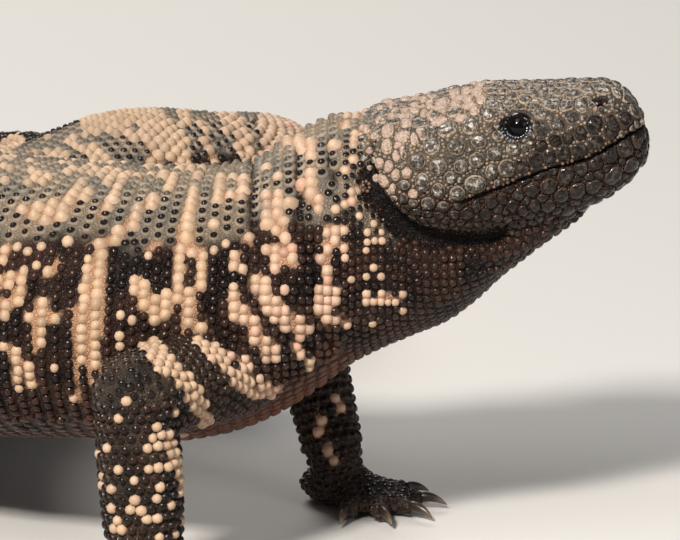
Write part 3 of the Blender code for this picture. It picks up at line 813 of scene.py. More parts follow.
PALE_SPOTS = (
    (12, 243), (28, 243), (48, 243), (68, 243), (84, 262), (41, 262), (20, 392), (118, 320), (120, 338),
    (124, 350), (128, 324), (52, 369), (219, 242), (218, 226), (145, 250), (208, 245), (232, 288),
    (264, 153), (265, 200), (265, 170), (273, 176), (340, 210), (344, 255), (363, 217), (371, 221),
    (379, 222), (366, 231), (382, 235), (369, 241), (376, 244), (385, 245), (369, 253), (373, 265),
    (365, 273), (379, 277), (350, 279), (369, 293), (370, 302), (380, 302), (389, 301), (398, 299),
    (370, 322), (402, 313), (286, 294), (280, 352), (271, 362), (261, 380), (310, 367), (97, 452),
    (105, 449), (107, 474), (115, 470), (104, 486), (113, 486), (114, 507), (127, 508), (141, 509),
    (168, 509), (183, 516), (148, 519), (160, 519), (121, 517), (113, 526), (126, 529), (160, 532),
    (172, 530), (145, 448), (160, 448), (152, 436), (163, 438), (163, 427), (156, 425), (173, 457),
    (144, 468), (156, 472), (134, 478), (175, 476), (160, 486), (179, 488), (137, 498), (161, 500),
    (164, 464), (137, 417), (129, 399), (121, 420), (122, 373), (95, 420), (172, 411), (175, 416),
    (185, 432), (100, 140),
)
# Where the strokes end, bars cross the flanks, bands go round the tail and blotches cover the legs. The
# spans are distances along the body.
STROKES_FROM_COLUMN = -4
REAR_FROM = 66.0
REAR_TOP_LEVEL = 36
REAR_TOP_LOSS = 2.0
NECK_DUST_SPAN = (75.0, 45.0)
THROAT_RUST_SPAN = (60.0, 42.0)
CHEST_RUST_SPAN = (85.0, 120.0)
BAR_LENGTH = 15.5
BAR_WAVE = 5.5
FAR_SIDE_SHIFT = 0.42
TAIL_BAND_LENGTH = 33.0
TAIL_BAND_WAVE = 4.0
PLAIN_HEAD_REACH = -3.0
FACING_CAMERA = np.array((0.0, -COS_TILT, SIN_TILT))
BACK_DUST_FROM = 0.70
NECK_DUST_LOWER = 0.28
RIDGE_DUST = 0.4
LEG_DUST = 0.15
HEAD_DUST_LOSS = 0.6
LEG_BELLY_SHARE = 0.2


def noise_at(points, scale, seed):
    """Smooth noise from -1 to 1, with features about the scale's size."""
    shift = Vector((seed * 17.3, seed * 5.1, seed * 29.7))
    return np.array([noise.noise(Vector(p) + shift) for p in points / scale])


def stroke_reach(spots, strokes):
    """How far inside the nearest stroke each photo spot lies, in pixels, negative outside."""
    best = np.full(len(spots), -99.0)
    for width, *line in strokes:
        best = np.maximum(best, width / 2 - line_distance(spots, line))
    return best


def pale_reach(points, normals, parts):
    """How far points lie inside a pale mark, in millimetres, negative outside."""
    spots = photo_spots(points)
    facing = normals @ FACING_CAMERA
    shown = (facing > -0.3) & (spots[:, 0] > STROKES_FROM_COLUMN)
    front, rear = shown & (points[:, 1] < REAR_FROM), shown & (points[:, 1] >= REAR_FROM)
    distance, turn, rise = body_place(points)
    ragged = noise_at(points, 3.2, 1)
    wave = noise_at(points, 14.0, 2)
    breaks = noise_at(points, 8.5, 3)
    side = np.where(turn > 0, 0.0, FAR_SIDE_SHIFT)
    bars = np.cos(2 * math.pi * ((distance + BAR_WAVE * wave) / BAR_LENGTH + side))
    flank = 2.6 * (bars - 0.28 + 1.1 * breaks + 0.3 * ragged) - 2.5 * ramp(-0.45, -0.8, rise)
    bands = np.cos(2 * math.pi * (distance - TAIL_START + TAIL_BAND_WAVE * wave) / TAIL_BAND_LENGTH)
    tail = 3.0 * (bands + 0.1 + 0.5 * breaks + 0.35 * ragged)
    share = ramp(TAIL_START - 18.0, TAIL_START + 8.0, distance)
    reach = flank * (1 - share) + tail * share
    limb = (parts != BODY_PART) & (parts != HEAD_PART)
    reach = np.where(limb, 3.0 * (noise_at(points, 7.0, 4) * 1.3 + 0.5 * ragged - 0.32), reach)
    on_arm = stroke_reach(spots[front], SHOULDER_STROKES)
    on_body = stroke_reach(spots[front], BACK_STROKES + FLANK_STROKES + NECK_STROKES)
    drawn = np.where(limb[front], on_arm, np.maximum(on_arm, on_body))
    drawn = np.minimum(drawn, -stroke_reach(spots[front], DARK_HOLES))
    reach[front] = drawn / PIXELS_PER_MM
    reach[rear] = np.maximum(stroke_reach(spots[rear], REAR_STROKES) / PIXELS_PER_MM,
                             np.minimum(reach[rear], 3.0)
                             - REAR_TOP_LOSS * (points[rear, 2] > REAR_TOP_LEVEL))
    reach[parts == HEAD_PART] = PLAIN_HEAD_REACH
    return reach


def dust_share(points, parts):
    """How far the hide is dusty grey: the back and the top of the neck, not the flanks."""
    distance, _, rise = body_place(points)
    edge = BACK_DUST_FROM - NECK_DUST_LOWER * ramp(*NECK_DUST_SPAN, distance)
    dust = ramp(edge - 0.1, edge + 0.1, rise + 0.12 * noise_at(points, 6.0, 5))
    dust += RIDGE_DUST * ramp(0.86, 0.98, rise)
    limb = (parts != BODY_PART) & (parts != HEAD_PART)
    dust = np.where(limb, LEG_DUST + 0.1 * noise_at(points, 4.0, 12), dust)
    return np.where(parts == HEAD_PART, ramp(-1.0, 5.0, above_mouth(points)), dust)


def belly_share(points, normals, parts):
    """How far the hide is the rusty brown of the belly and throat."""
    distance, _, rise = body_place(points)
    low = ramp(-0.4, -1.0, rise + 0.2 * noise_at(points, 6.0, 6))
    low *= 1 - 0.85 * ramp(*THROAT_RUST_SPAN, distance)
    low *= 1 - 0.75 * ramp(*CHEST_RUST_SPAN, distance)
    return np.where(parts == BODY_PART, low, LEG_BELLY_SHARE * ramp(-0.3, -0.9, normals[:, 2]))


def give_attribute(mesh, name, values, kind="FLOAT"):
    """A number or vector for each vertex, which the materials and the bead tree read."""
    made = mesh.attributes.new(name, kind, "POINT")
    number = np.int32 if kind == "INT" else np.float32
    field = "vector" if kind == "FLOAT_VECTOR" else "value"
    made.data.foreach_set(field, np.asarray(values, number).ravel())


parts = parts_of(points)
reach = pale_reach(points, normals, parts)
give_attribute(skin.data, "pale", ramp(-0.15, 0.5, reach))
# Dust is left out where the hide is painted dark as shade.
dust = dust_share(points, parts) * (1 - ramp(0.1, 0.5, crease_shade))
give_attribute(skin.data, "dust", dust * (1 - HEAD_DUST_LOSS * (parts == HEAD_PART)))
give_attribute(skin.data, "belly", belly_share(points, normals, parts))
# The painted shade of the creases, folds, mouth line, nostrils and lids.
give_attribute(skin.data, "crease_shade", crease_shade)


# The tones of the animal, whose pale marks turn from cream to peach between two columns of the photo,
# and the group that turns a place's marks into its colour and roughness. Hide and beads share it, so that
# both carry the same markings.
def tone(red, green, blue):
    """An 8-bit sRGB colour as the linear colour that a shader takes."""
    def linear(channel):
        share = channel / 255
        return share / 12.92 if share <= 0.04045 else ((share + 0.055) / 1.055) ** 2.4
    return (linear(red), linear(green), linear(blue), 1.0)


BLACK = tone(22, 14, 11)
BROWN = tone(56, 36, 27)
RUST = tone(108, 58, 31)
DUST = tone(126, 118, 105)
DUST_TAN = tone(160, 141, 119)
CREAM = tone(188, 158, 127)
PEACH = tone(199, 166, 141)
PINK = tone(197, 151, 125)
TINT_COLUMNS = (180.0, 300.0)
# Orange-brown, painted into the pale marks between their beads as shade.
PALE_GAP_SHADE = tone(172, 108, 68)
# Near black, painted into the creases and folds as shade.
PAINTED_FOLD_SHADE = tone(16, 12, 11)
MIX_SHARE_SOCKET = 0
MIX_FIRST_SOCKET = 6
MIX_SECOND_SOCKET = 7
MIX_COLOUR_SOCKET = 2


def add(tree, kind, settings=(), inputs=()):
    """A node with its settings, whose inputs are constants or other nodes' outputs."""
    made = tree.nodes.new(kind)
    for name, value in dict(settings).items():
        setattr(made, name, value)
    for key, value in dict(inputs).items():
        if isinstance(value, bpy.types.NodeSocket):
            tree.links.new(value, made.inputs[key])
        else:
            made.inputs[key].default_value = value
    return made


def mixed(tree, share, first, second):
    """A colour between two others; each may be a colour or a socket."""
    sockets = {MIX_SHARE_SOCKET: share, MIX_FIRST_SOCKET: first, MIX_SECOND_SOCKET: second}
    return add(tree, "ShaderNodeMix", {"data_type": "RGBA"}, sockets).outputs[MIX_COLOUR_SOCKET]


def maths(tree, operation, *values):
    """A maths node over constants or sockets."""
    made = add(tree, "ShaderNodeMath", {"operation": operation}, dict(enumerate(values)))
    return made.outputs[0]


def span(tree, value, low, high, to_low=0.0, to_high=1.0):
    """A smooth step of a value: to_low where it is low, to_high where it is high."""
    made = add(tree, "ShaderNodeMapRange", {"interpolation_type": "SMOOTHSTEP"},
               {"Value": value, "From Min": low, "From Max": high, "To Min": to_low, "To Max": to_high})
    return made.outputs[0]


def clouds(tree, place, scale, detail):
    """Soft noise over a place, from 0 to 1."""
    made = add(tree, "ShaderNodeTexNoise", {}, {"Vector": place, "Scale": scale, "Detail": detail})
    return made.outputs["Fac"]


def new_group(name, inputs, outputs):
    """An empty shader group with the named float inputs and typed outputs."""
    group = bpy.data.node_groups.new(name, "ShaderNodeTree")
    for label in inputs:
        group.interface.new_socket(label, in_out="INPUT", socket_type="NodeSocketFloat")
    for label, kind in outputs:
        group.interface.new_socket(label, in_out="OUTPUT", socket_type="NodeSocket" + kind)
    return group, group.nodes.new("NodeGroupInput").outputs, group.nodes.new("NodeGroupOutput").inputs


coat_tone, given, wanted = new_group("coat_tone", ("Pale", "Tint", "Dust", "Belly", "Tip"),
                                     (("Colour", "Color"), ("Roughness", "Float")))
spot = add(coat_tone, "ShaderNodeTexCoord").outputs["Object"]
blotch = clouds(coat_tone, spot, 130.0, 5.0)
speck = clouds(coat_tone, spot, 2400.0, 3.0)
browned = maths(coat_tone, "MULTIPLY", span(coat_tone, blotch, 0.36, 0.6),
                span(coat_tone, given["Dust"], 0.0, 0.3, 0.85, 0.1))
dark = mixed(coat_tone, browned, BLACK, BROWN)
dark = mixed(coat_tone, maths(coat_tone, "MULTIPLY", given["Belly"], 0.66), dark, RUST)
pale = mixed(coat_tone, given["Tint"], CREAM, PEACH)
pale = mixed(coat_tone, span(coat_tone, given["Tint"], 0.75, 1.3), pale, PINK)
pale = mixed(coat_tone, span(coat_tone, speck, 0.62, 0.8, 0.0, 0.25), pale, BROWN)
bare = mixed(coat_tone, given["Pale"], dark, pale)
grey = mixed(coat_tone, span(coat_tone, blotch, 0.35, 0.65), DUST, DUST_TAN)
dusty_tip = maths(coat_tone, "MAXIMUM", span(coat_tone, given["Tip"], 0.4, 0.6, 1.0, 0.0),
                  span(coat_tone, given["Dust"], 1.0, 1.4, 0.0, 0.42))
cover = maths(coat_tone, "MULTIPLY", given["Dust"], dusty_tip)
cover = maths(coat_tone, "MULTIPLY", cover, span(coat_tone, speck, 0.3, 0.6, 0.72, 1.0))
cover = maths(coat_tone, "MULTIPLY", cover, span(coat_tone, given["Pale"], 0.3, 1.0, 1.0, 0.25))
coat_tone.links.new(mixed(coat_tone, cover, bare, grey), wanted["Colour"])
rough = span(coat_tone, given["Pale"], 0.0, 1.0, 0.2, 0.38)
rough = maths(coat_tone, "ADD", rough, maths(coat_tone, "MULTIPLY", cover, 0.45))
rough = maths(coat_tone, "ADD", rough, maths(coat_tone, "MULTIPLY", given["Belly"], 0.25))
rough = maths(coat_tone, "ADD", rough, span(coat_tone, speck, 0.3, 0.7, -0.06, 0.1))
coat_tone.links.new(rough, wanted["Roughness"])


def attribute(tree, name):
    """A number that the piece's mesh carries."""
    made = add(tree, "ShaderNodeAttribute", {"attribute_type": "GEOMETRY", "attribute_name": name})
    return made.outputs["Fac"]


def new_finish(name):
    """A material with its Principled shader, ready for nodes."""
    material = bpy.data.materials.new(name)
    material.use_nodes = True
    tree = material.node_tree
    return material, tree, tree.nodes["Principled BSDF"]


def coat_nodes(tree, tip):
    """The coat's colour and roughness, read from the attributes of the piece."""
    tones = add(tree, "ShaderNodeGroup", {"node_tree": coat_tone}, {
        "Pale": attribute(tree, "pale"), "Tint": attribute(tree, "tint"), "Dust": attribute(tree, "dust"),
        "Belly": attribute(tree, "belly"), "Tip": tip})
    return tones.outputs["Colour"], tones.outputs["Roughness"]


hide, tree_nodes, shader = new_finish("hide")
colour, roughness = coat_nodes(tree_nodes, 0.0)
position = add(tree_nodes, "ShaderNodeTexCoord").outputs["Object"]
grain = add(tree_nodes, "ShaderNodeTexVoronoi", {"feature": "DISTANCE_TO_EDGE"},
            {"Vector": position, "Scale": 1500.0}).outputs["Distance"]
grain = span(tree_nodes, grain, 0.02, 0.25)
pale_mark = attribute(tree_nodes, "pale")
# In the pale marks the hide between the beads is darkened to orange-brown: painted shade between the beads.
colour = mixed(tree_nodes, maths(tree_nodes, "MULTIPLY", pale_mark, 0.5), colour, PALE_GAP_SHADE)
seams = maths(tree_nodes, "MULTIPLY", maths(tree_nodes, "SUBTRACT", 1.0, grain),
              span(tree_nodes, pale_mark, 0.0, 1.0, 0.45, 0.12))
colour = mixed(tree_nodes, seams, colour, mixed(tree_nodes, 0.5, colour, BLACK))
# Creases, folds, the mouth line, the nostrils and the lids are painted near black: painted shade.
colour = mixed(tree_nodes, attribute(tree_nodes, "crease_shade"), colour, PAINTED_FOLD_SHADE)
wrinkles = clouds(tree_nodes, position, 1900.0, 4.0)
relief = maths(tree_nodes, "ADD", grain, wrinkles)
bump = add(tree_nodes, "ShaderNodeBump", {}, {"Height": relief, "Strength": 0.9, "Distance": 0.0004})
tree_nodes.links.new(colour, shader.inputs["Base Color"])
tree_nodes.links.new(maths(tree_nodes, "ADD", roughness, 0.12), shader.inputs["Roughness"])
shader.inputs["Specular IOR Level"].default_value = 0.22
tree_nodes.links.new(bump.outputs[0], shader.inputs["Normal"])
give_attribute(skin.data, "tint", ramp(*TINT_COLUMNS, photo_spots(points)[:, 0]) * 0.7 + 0.1)
skin.data.materials.append(hide)
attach(skin, "root")
flesh_nodes = [name for name in frame["nodes"] if not name.startswith("eye") and "claw" not in name]
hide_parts(*flesh_nodes)

# The eyes: dark, wet, nearly black glass balls that sit in the lids, with a thin brown iris. One ball
# is set on each eye's own axis.
EYE_SEGMENTS = 64
EYE_RINGS = 40
PUPIL_REACH = 0.62
eye_finish, tree_nodes, shader = new_finish("wet_eye")
position = add(tree_nodes, "ShaderNodeTexCoord").outputs["Object"]
shade = clouds(tree_nodes, position, 900.0, 5.0)
iris = maths(tree_nodes, "MULTIPLY", attribute(tree_nodes, "iris"), span(tree_nodes, shade, 0.35, 0.65))
tree_nodes.links.new(mixed(tree_nodes, iris, tone(7, 7, 9), tone(27, 18, 13)), shader.inputs["Base Color"])
shader.inputs["Roughness"].default_value = 0.04
shader.inputs["Specular IOR Level"].default_value = 0.14
shader.inputs["Coat Weight"].default_value = 0.04
shader.inputs["Coat Roughness"].default_value = 0.02
for name, (centre, axis) in EYES.items():
    shape = bmesh.new()
    bmesh.ops.create_uvsphere(shape, u_segments=EYE_SEGMENTS, v_segments=EYE_RINGS, radius=EYE_RADIUS)
    aim = Vector(axis).to_track_quat("Z", "Y")
    bmesh.ops.transform(shape, matrix=aim.to_matrix().to_4x4(), verts=shape.verts[:])
    shape.verts.index_update()
    ball = [np.array(v.co) + centre for v in shape.verts]
    eye = new_object(name + "_ball", ball, [tuple(v.index for v in f.verts) for f in shape.faces])
    shape.free()
    eye.data.shade_smooth()
    reach_share = np.linalg.norm(np.cross(np.array(ball) - centre, axis), axis=1) / LID_OPENING
    give_attribute(eye.data, "iris", ramp(PUPIL_REACH, PUPIL_REACH + 0.1, reach_share))
    eye.data.materials.append(eye_finish)
    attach(eye, "root")
    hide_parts(name)


# The head's plates: horny shields, domed on the temples, flat and close-set on the snout and the jaws,
# each on a bony core. They are laid one by one where the photo shows them, and mirrored to the far side.
# Each row below is the middle, the width and the height of one plate, in photo pixels.
TEMPLE_PLATES = (
    (447.5, 130, 20, 14), (470, 126.7, 16, 15), (432.5, 146.7, 17, 17), (456.7, 147.5, 18, 17),
    (479, 142, 16, 14), (417.5, 161.7, 17, 18), (438.3, 166.7, 18, 19), (460.8, 166.7, 14, 15),
    (476.7, 160, 16, 16), (494.2, 154, 16, 13), (450, 177.5, 13, 13), (422.5, 182.5, 14, 20),
    (438.3, 190.8, 14, 16), (457.5, 193.3, 16, 15), (475, 184, 22, 18), (491, 172, 12, 16),
    (506.7, 168, 18, 18), (513.3, 149, 15, 13), (497.5, 136.7, 12, 11), (490, 129, 9, 8),
    (489, 116.7, 12, 13), (421.7, 135, 14, 13), (404, 185, 12, 10), (404, 198, 8, 10),
    (413, 203, 10, 9), (428, 203, 14, 12), (443, 206, 12, 10), (396.7, 115, 8, 8), (383, 122, 8, 7),
    (363, 147, 8, 8), (433, 116.7, 12, 14), (455, 113, 16, 12), (404, 153, 10, 14),
)
PALE_PLATES = (
    (415, 138, 9, 17), (425, 115, 9, 14), (406.7, 124, 12, 9), (388, 131, 13, 14),
    (387.5, 146.7, 11, 16), (396.7, 156, 8, 14), (389, 166.7, 9, 14), (380, 163.3, 8, 12),
    (396, 175, 9, 13), (406.7, 173, 10, 12), (384, 181, 9, 10), (376.7, 178, 8, 9), (392.5, 189, 7, 12),
    (413.3, 194, 10, 10), (392.5, 107.5, 10, 6), (415, 106, 10, 6), (442.5, 102.5, 16, 9),
    (478, 92, 14, 8), (468, 100, 12, 10), (482, 101, 12, 8), (475, 111, 10, 9), (358, 112, 9, 8),
    (372, 108, 9, 8), (380, 109, 9, 8), (375, 136.7, 8, 9), (366.7, 130, 8, 8), (370, 151, 8, 8),
    (370, 166.7, 6, 8), (455, 94, 12, 7), (430, 104, 9, 6), (595, 109, 5, 5),
)
UPPER_LIP_PLATES = (
    (625, 120, 13, 18), (611, 127, 15, 27), (594, 124, 15, 22), (595, 141.7, 15, 14),
    (579, 150, 15, 13), (563, 152.5, 14, 13), (549, 155, 11, 14), (535, 159, 15, 12),
    (522, 165, 14, 15), (567.5, 138, 12, 10), (555, 140.5, 12, 10), (540, 145, 13, 11),
    (580, 133, 12, 13),
)
SNOUT_PLATES = (
    (558, 124, 15, 14), (571.7, 116.7, 13, 14), (566.7, 105.5, 14, 12), (551.7, 104, 16, 14),
    (540, 129, 14, 18), (541.7, 113.5, 12, 12), (582, 105, 14, 16), (591, 104, 9, 15),
    (561.7, 92.5, 14, 10), (573, 94, 12, 10), (588, 89, 14, 11), (604, 90, 14, 11), (610, 100, 9, 10),
    (617, 92, 11, 20), (627, 98, 10, 18), (635, 110, 8, 22), (638, 125, 7, 10), (545, 92, 14, 9),
    (530, 84, 14, 7), (550, 83.5, 14, 7), (512, 84.5, 14, 7), (573, 83, 14, 7), (597, 81, 14, 6),
)
BROW_PLATES = (
    (501, 99, 11, 12), (512, 97, 11, 9), (525.5, 100, 12, 9), (529, 90.5, 11, 8), (517, 89, 11, 7),
    (522.5, 139, 11, 8), (531, 136, 9, 9), (533, 107, 8, 7), (503, 88, 10, 7),
)
LOWER_LIP_PLATES = (
    (637, 139, 9, 20), (625, 147.5, 16, 21), (609, 153.5, 17, 17), (595, 163, 14, 15),
    (581, 166.5, 14, 20), (566, 174, 16, 20), (552.5, 169.5, 12, 12), (540, 174.5, 12, 10),
    (525, 181, 13, 9), (510, 188.5, 11, 8), (631, 165, 13, 14), (613, 175.5, 16, 15),
    (593, 187, 14, 14), (577.5, 191, 15, 15), (561.7, 195, 13, 13), (548, 186, 14, 15),
    (531, 188.5, 14, 14), (518, 194, 10, 12), (568, 210, 14, 12), (583, 206.7, 12, 12),
    (548, 206, 12, 13), (534, 205, 11, 12), (523, 211, 9, 13), (511.5, 206, 8, 14),
    (491.7, 202, 12, 12), (485, 214, 10, 10), (476, 207, 8, 12), (466.7, 213, 12, 11),
    (502, 199, 8, 12), (600, 200, 12, 10),
)
DOME = ((1.0, -0.35), (0.97, 0.3), (0.84, 0.66), (0.6, 0.88), (0.3, 0.98))
SLAB = ((1.0, -0.5), (0.96, 0.34), (0.83, 0.72), (0.56, 0.93), (0.28, 1.0))
# Each kind: its plates, height, profile, growth past its own outline towards its neighbours, paleness
# and greyness.
PLATE_KINDS = (
    (TEMPLE_PLATES, 1.2, DOME, 1.0, 0.0, 0.8), (PALE_PLATES, 1.0, DOME, 1.04, 1.0, 0.8),
    (UPPER_LIP_PLATES, 0.8, SLAB, 1.3, 0.0, 0.08), (SNOUT_PLATES, 0.65, SLAB, 1.3, 0.0, 0.4),
    (BROW_PLATES, 0.75, DOME, 1.1, 0.0, 0.5), (LOWER_LIP_PLATES, 0.85, SLAB, 1.25, 0.0, 0.08),
)
# Plates that are pale on one side only: the plate's middle, then the pale side's direction in the photo.
HALF_PALE = (
    (421.7, 135, -1.0, 0.0), (433, 116.7, -1.0, -0.3), (455, 113, 0.1, -1.0), (404, 153, -1.0, -0.2),
)
PLATE_SIDES = 16
PLATE_GAP = 0.16
MOUTH_MARGIN = 0.24
LID_EDGE = 3.5
LEAST_FACING = 0.45
PLATE_NEIGHBOURS = 8.0
LEAST_PLATE_REACH = 0.12
CORNER_ROUNDING = 14.0
CLIP_SHARES = np.linspace(0.25, 1.0, 16)
DIM_BELOW = 224
DIM_OVER = 34
UPPER_FACING = 0.45
CROWN_SPAN = (42.0, 30.0)
TOP_SHADE = 0.38
FULL_HEIGHT_SIZE = 1.9
PATCH_MARGIN = 2.6
TEMPLE_KIND = 0
SNOUT_KIND = 3
JAW_KIND = 5
SIGHT_UP = np.array((0.0, SIN_TILT, COS_TILT))
PATCH_SIZE = 0.003
BARE_FROM = 0.72
PLATELESS_FROM = 0.32
MAP_WIDTH = 480.0
BODY_MAP = (0.012, 0.23)
HEAD_MAP = (0.02, 0.62)
LEG_MAP = (0.21, 0.6)
LEG_MAP_STEP = 0.2
LOWER_LEG_SHIFT = 0.09
FOOT_MAP = 0.25
SOLE_LEVEL = 0.92
FOOT_LEVEL = 0.8
MAP_SAMPLES = 60
SPOT_SCATTER = 0.35
SEARCH_CELL = 3.2
PLATE_SEARCH = 6.0
HEAD_PLATES_FROM = -4

face_normals = np.array([normals[list(f.vertices)].mean(0) for f in skin.data.polygons])
face_middles = np.array([points[list(f.vertices)].mean(0) for f in skin.data.polygons])
face_areas = np.array([f.area for f in skin.data.polygons])
vertex_tree = point_tree(points)
rng = np.random.default_rng(7)


def settled(places):
    """The nearest points of the hide, their smooth normals and how far off they are."""
    hits = [hide_tree.find_nearest(p) for p in places]
    return (np.array([h[0] for h in hits]), unit(face_normals[[h[2] for h in hits]]),
            np.array([h[3] for h in hits]))


def random_spots(count, chosen):
    """Random points on the chosen faces of the hide, even by area, with their normals."""
    areas = face_areas * chosen
    picked = rng.choice(len(areas), count, p=areas / areas.sum())
    places = face_middles[picked] + rng.normal(0.0, SPOT_SCATTER, (count, 3))
    return settled(places)[:2]


def kept_apart(places, radii, share, taken=None):
    """Indexes of the places that keep their distance from all kept before them, and a grid of those."""
    grid = dict(taken or {})
    kept = []
    for i, ((x, y, z), radius) in enumerate(zip(places.tolist(), radii.tolist())):
        cx, cy, cz = int(x // SEARCH_CELL), int(y // SEARCH_CELL), int(z // SEARCH_CELL)
        clear = True
        for key in ((cx + a, cy + b, cz + c) for a in (0, -1, 1) for b in (0, -1, 1) for c in (0, -1, 1)):
            for ox, oy, oz, other in grid.get(key, ()):
                if (ox - x) ** 2 + (oy - y) ** 2 + (oz - z) ** 2 < (share * (radius + other)) ** 2:
                    clear = False
                    break
            if not clear:
                break
        if clear:
            kept.append(i)
            grid[cx, cy, cz] = grid.get((cx, cy, cz), ()) + ((x, y, z, radius),)
    return kept, grid


def flat_axes(facing):
    """Two directions in each tangent plane: the photo's right, and up from it."""
    across = unit(np.array((1.0, 0.0, 0.0)) - facing * facing[:, :1])
    return across, np.cross(facing, across)


# Columns of the plates: middle, normal, half width and height, kind, paleness, greyness, and the way
# to the pale side of a half pale one.
plates = {name: [] for name in ("centre", "facing", "half", "kind", "pale", "shade", "cut")}
for kind, (rows, _, _, _, pale_part, shade_part) in enumerate(PLATE_KINDS):
    for x, y, width, height in rows:
        hit = under_spots([(x, y)])
        if len(hit) == 0:
            continue
        place, facing = settled(hit)[:2]
        across, up = flat_axes(facing)
        lean = max(abs(across[0, 0]), LEAST_FACING), max(abs(up[0] @ SIGHT_UP), LEAST_FACING)
        half = (width / 2 / PIXELS_PER_MM / lean[0], height / 2 / PIXELS_PER_MM / lean[1])
        cut = [(dx, dy) for hx, hy, dx, dy in HALF_PALE if abs(hx - x) + abs(hy - y) < 2]
        for side in (0, 1):
            plates["centre"].append(mirrored(place)[0] if side else place[0])
            plates["half"].append(half)
            plates["kind"].append(kind)
            plates["pale"].append(pale_part)
            dimming = min(1.0, max(0.3, (DIM_BELOW - y) / DIM_OVER))
            plates["shade"].append(shade_part * rng.uniform(0.75, 1.15) * dimming)
            plates["cut"].append((cut[0][0], -cut[0][1]) if cut else (0.0, 0.0))
plates = {name: np.array(values, float) for name, values in plates.items() if values}
plates["centre"], plates["facing"] = settled(plates["centre"])[:2]


def on_plate(places, grown):
    """Whether each place lies on a plate whose radius is made larger by a length."""
    found = np.zeros(len(places), bool)
    across, up = flat_axes(plates["facing"])
    for centre, a, b, half in zip(plates["centre"], across, up, plates["half"]):
        rel = places - centre
        away = np.linalg.norm(rel, axis=1)
        near = np.flatnonzero(away < PLATE_SEARCH)
        x, y = rel[near] @ a, rel[near] @ b
        size = 1 / np.sqrt((x / half[0]) ** 2 + (y / half[1]) ** 2 + 1e-9)
        found[near] |= away[near] * (1 - size) < (grown[near] if np.ndim(grown) else grown)
    return found


def crease_shade_at(places):
    """How far into a fold or crease of the hide each place lies, from 0 to 1: its share of painted shade.
    """
    return np.array([crease_shade[vertex_tree.find(place)[1]] for place in places])


def open_head(places, radius):
    """Whether a round plate may stand on these places of the head: clear of eyes, mouth and nostrils."""
    clear = (parts_of(places) == HEAD_PART) & (places[:, 0] > HEAD_PLATES_FROM)
    clear &= (np.abs(above_mouth(places)) > MOUTH_MARGIN + radius * 0.9) | (places[:, 0] < MOUTH_CORNER)
    for centre, _ in EYES.values():
        clear &= np.linalg.norm(places - centre, axis=1) > LID_EDGE + 0.8 * radius
    for place in (nostril[0], mirrored(nostril)[0]):
        clear &= np.linalg.norm(places - place, axis=1) > NOSTRIL_RADIUS + 0.8 * radius
    return clear


# Other plates fill the rest of the head, the larger ones first: their radii, with the number of tries.
FILL_RADII = ((1.5, 1600), (1.2, 2600), (0.95, 5000), (0.72, 9000))
MOST_JAW_RADIUS = (1.0, 1.25)
MOST_TEMPLE_RADIUS = 0.75
MOST_TOP_RADIUS = 1.55
MOST_NAPE_RADIUS = 1.0
NAPE_TO = 6
TOP_REAR_SPAN = (44.0, 36.0)
head_faces = parts_of(face_middles) == HEAD_PART
for radius, count in FILL_RADII:
    places, facing = random_spots(count, head_faces)
    over = above_mouth(places)
    jaw_share = ramp(20.0, 60.0, places[:, 0])
    most_jaw = MOST_JAW_RADIUS[0] + (MOST_JAW_RADIUS[1] - MOST_JAW_RADIUS[0]) * jaw_share
    most = np.where(over < 0, most_jaw, MOST_TEMPLE_RADIUS)
    most = np.where((facing[:, 2] > UPPER_FACING) & (over > 0), MOST_TOP_RADIUS, most)
    most = np.where(places[:, 0] < NAPE_TO, MOST_NAPE_RADIUS, most)
    fit = open_head(places, radius) & (most >= radius * 0.99)
    places, facing = places[fit], facing[fit]
    free = ~on_plate(places, 0.9 * radius) & (crease_shade_at(places) < PLATELESS_FROM)
    places, facing = places[free], facing[free]
    top_rear = ramp(*TOP_REAR_SPAN, places[:, 0]) * (facing[:, 2] > UPPER_FACING)
    top_rear *= above_mouth(places) > 0
    kept = kept_apart(places, radius * (1 + 0.22 * top_rear), 0.95)[0]
    if radius < 0.9:
        kept = [k for k in kept if top_rear[k] < 0.5]
    places, facing = places[kept], facing[kept]
    over = above_mouth(places)
    crown = ramp(*CROWN_SPAN, places[:, 0]) * ramp(0.6, 0.85, facing[:, 2]) * (over > 0)
    fairness = noise_at(places, 7.0, 8) + 0.55 * crown - 0.5
    pale_here = (fairness > rng.uniform(0.0, 0.25, len(places))) & (crown > 0.2)
    kind = np.where(over > 0, np.where(facing[:, 2] > UPPER_FACING, SNOUT_KIND, TEMPLE_KIND), JAW_KIND)
    plates["centre"] = np.concatenate((plates["centre"], places))
    plates["facing"] = np.concatenate((plates["facing"], facing))
    plates["half"] = np.concatenate((plates["half"], np.full((len(kept), 2), radius)
                                     * rng.uniform(0.9, 1.15, (len(kept), 2))))
    plates["kind"] = np.concatenate((plates["kind"], kind))
    plates["pale"] = np.concatenate((plates["pale"], pale_here.astype(float)))
    plates["shade"] = np.concatenate((plates["shade"], np.array([PLATE_KINDS[k][5] for k in kind])
                                      * rng.uniform(0.7, 1.15, len(kept))))
    plates["cut"] = np.concatenate((plates["cut"], np.zeros((len(kept), 2))))
plates["shade"] += TOP_SHADE * ramp(0.5, 0.85, plates["facing"][:, 2])

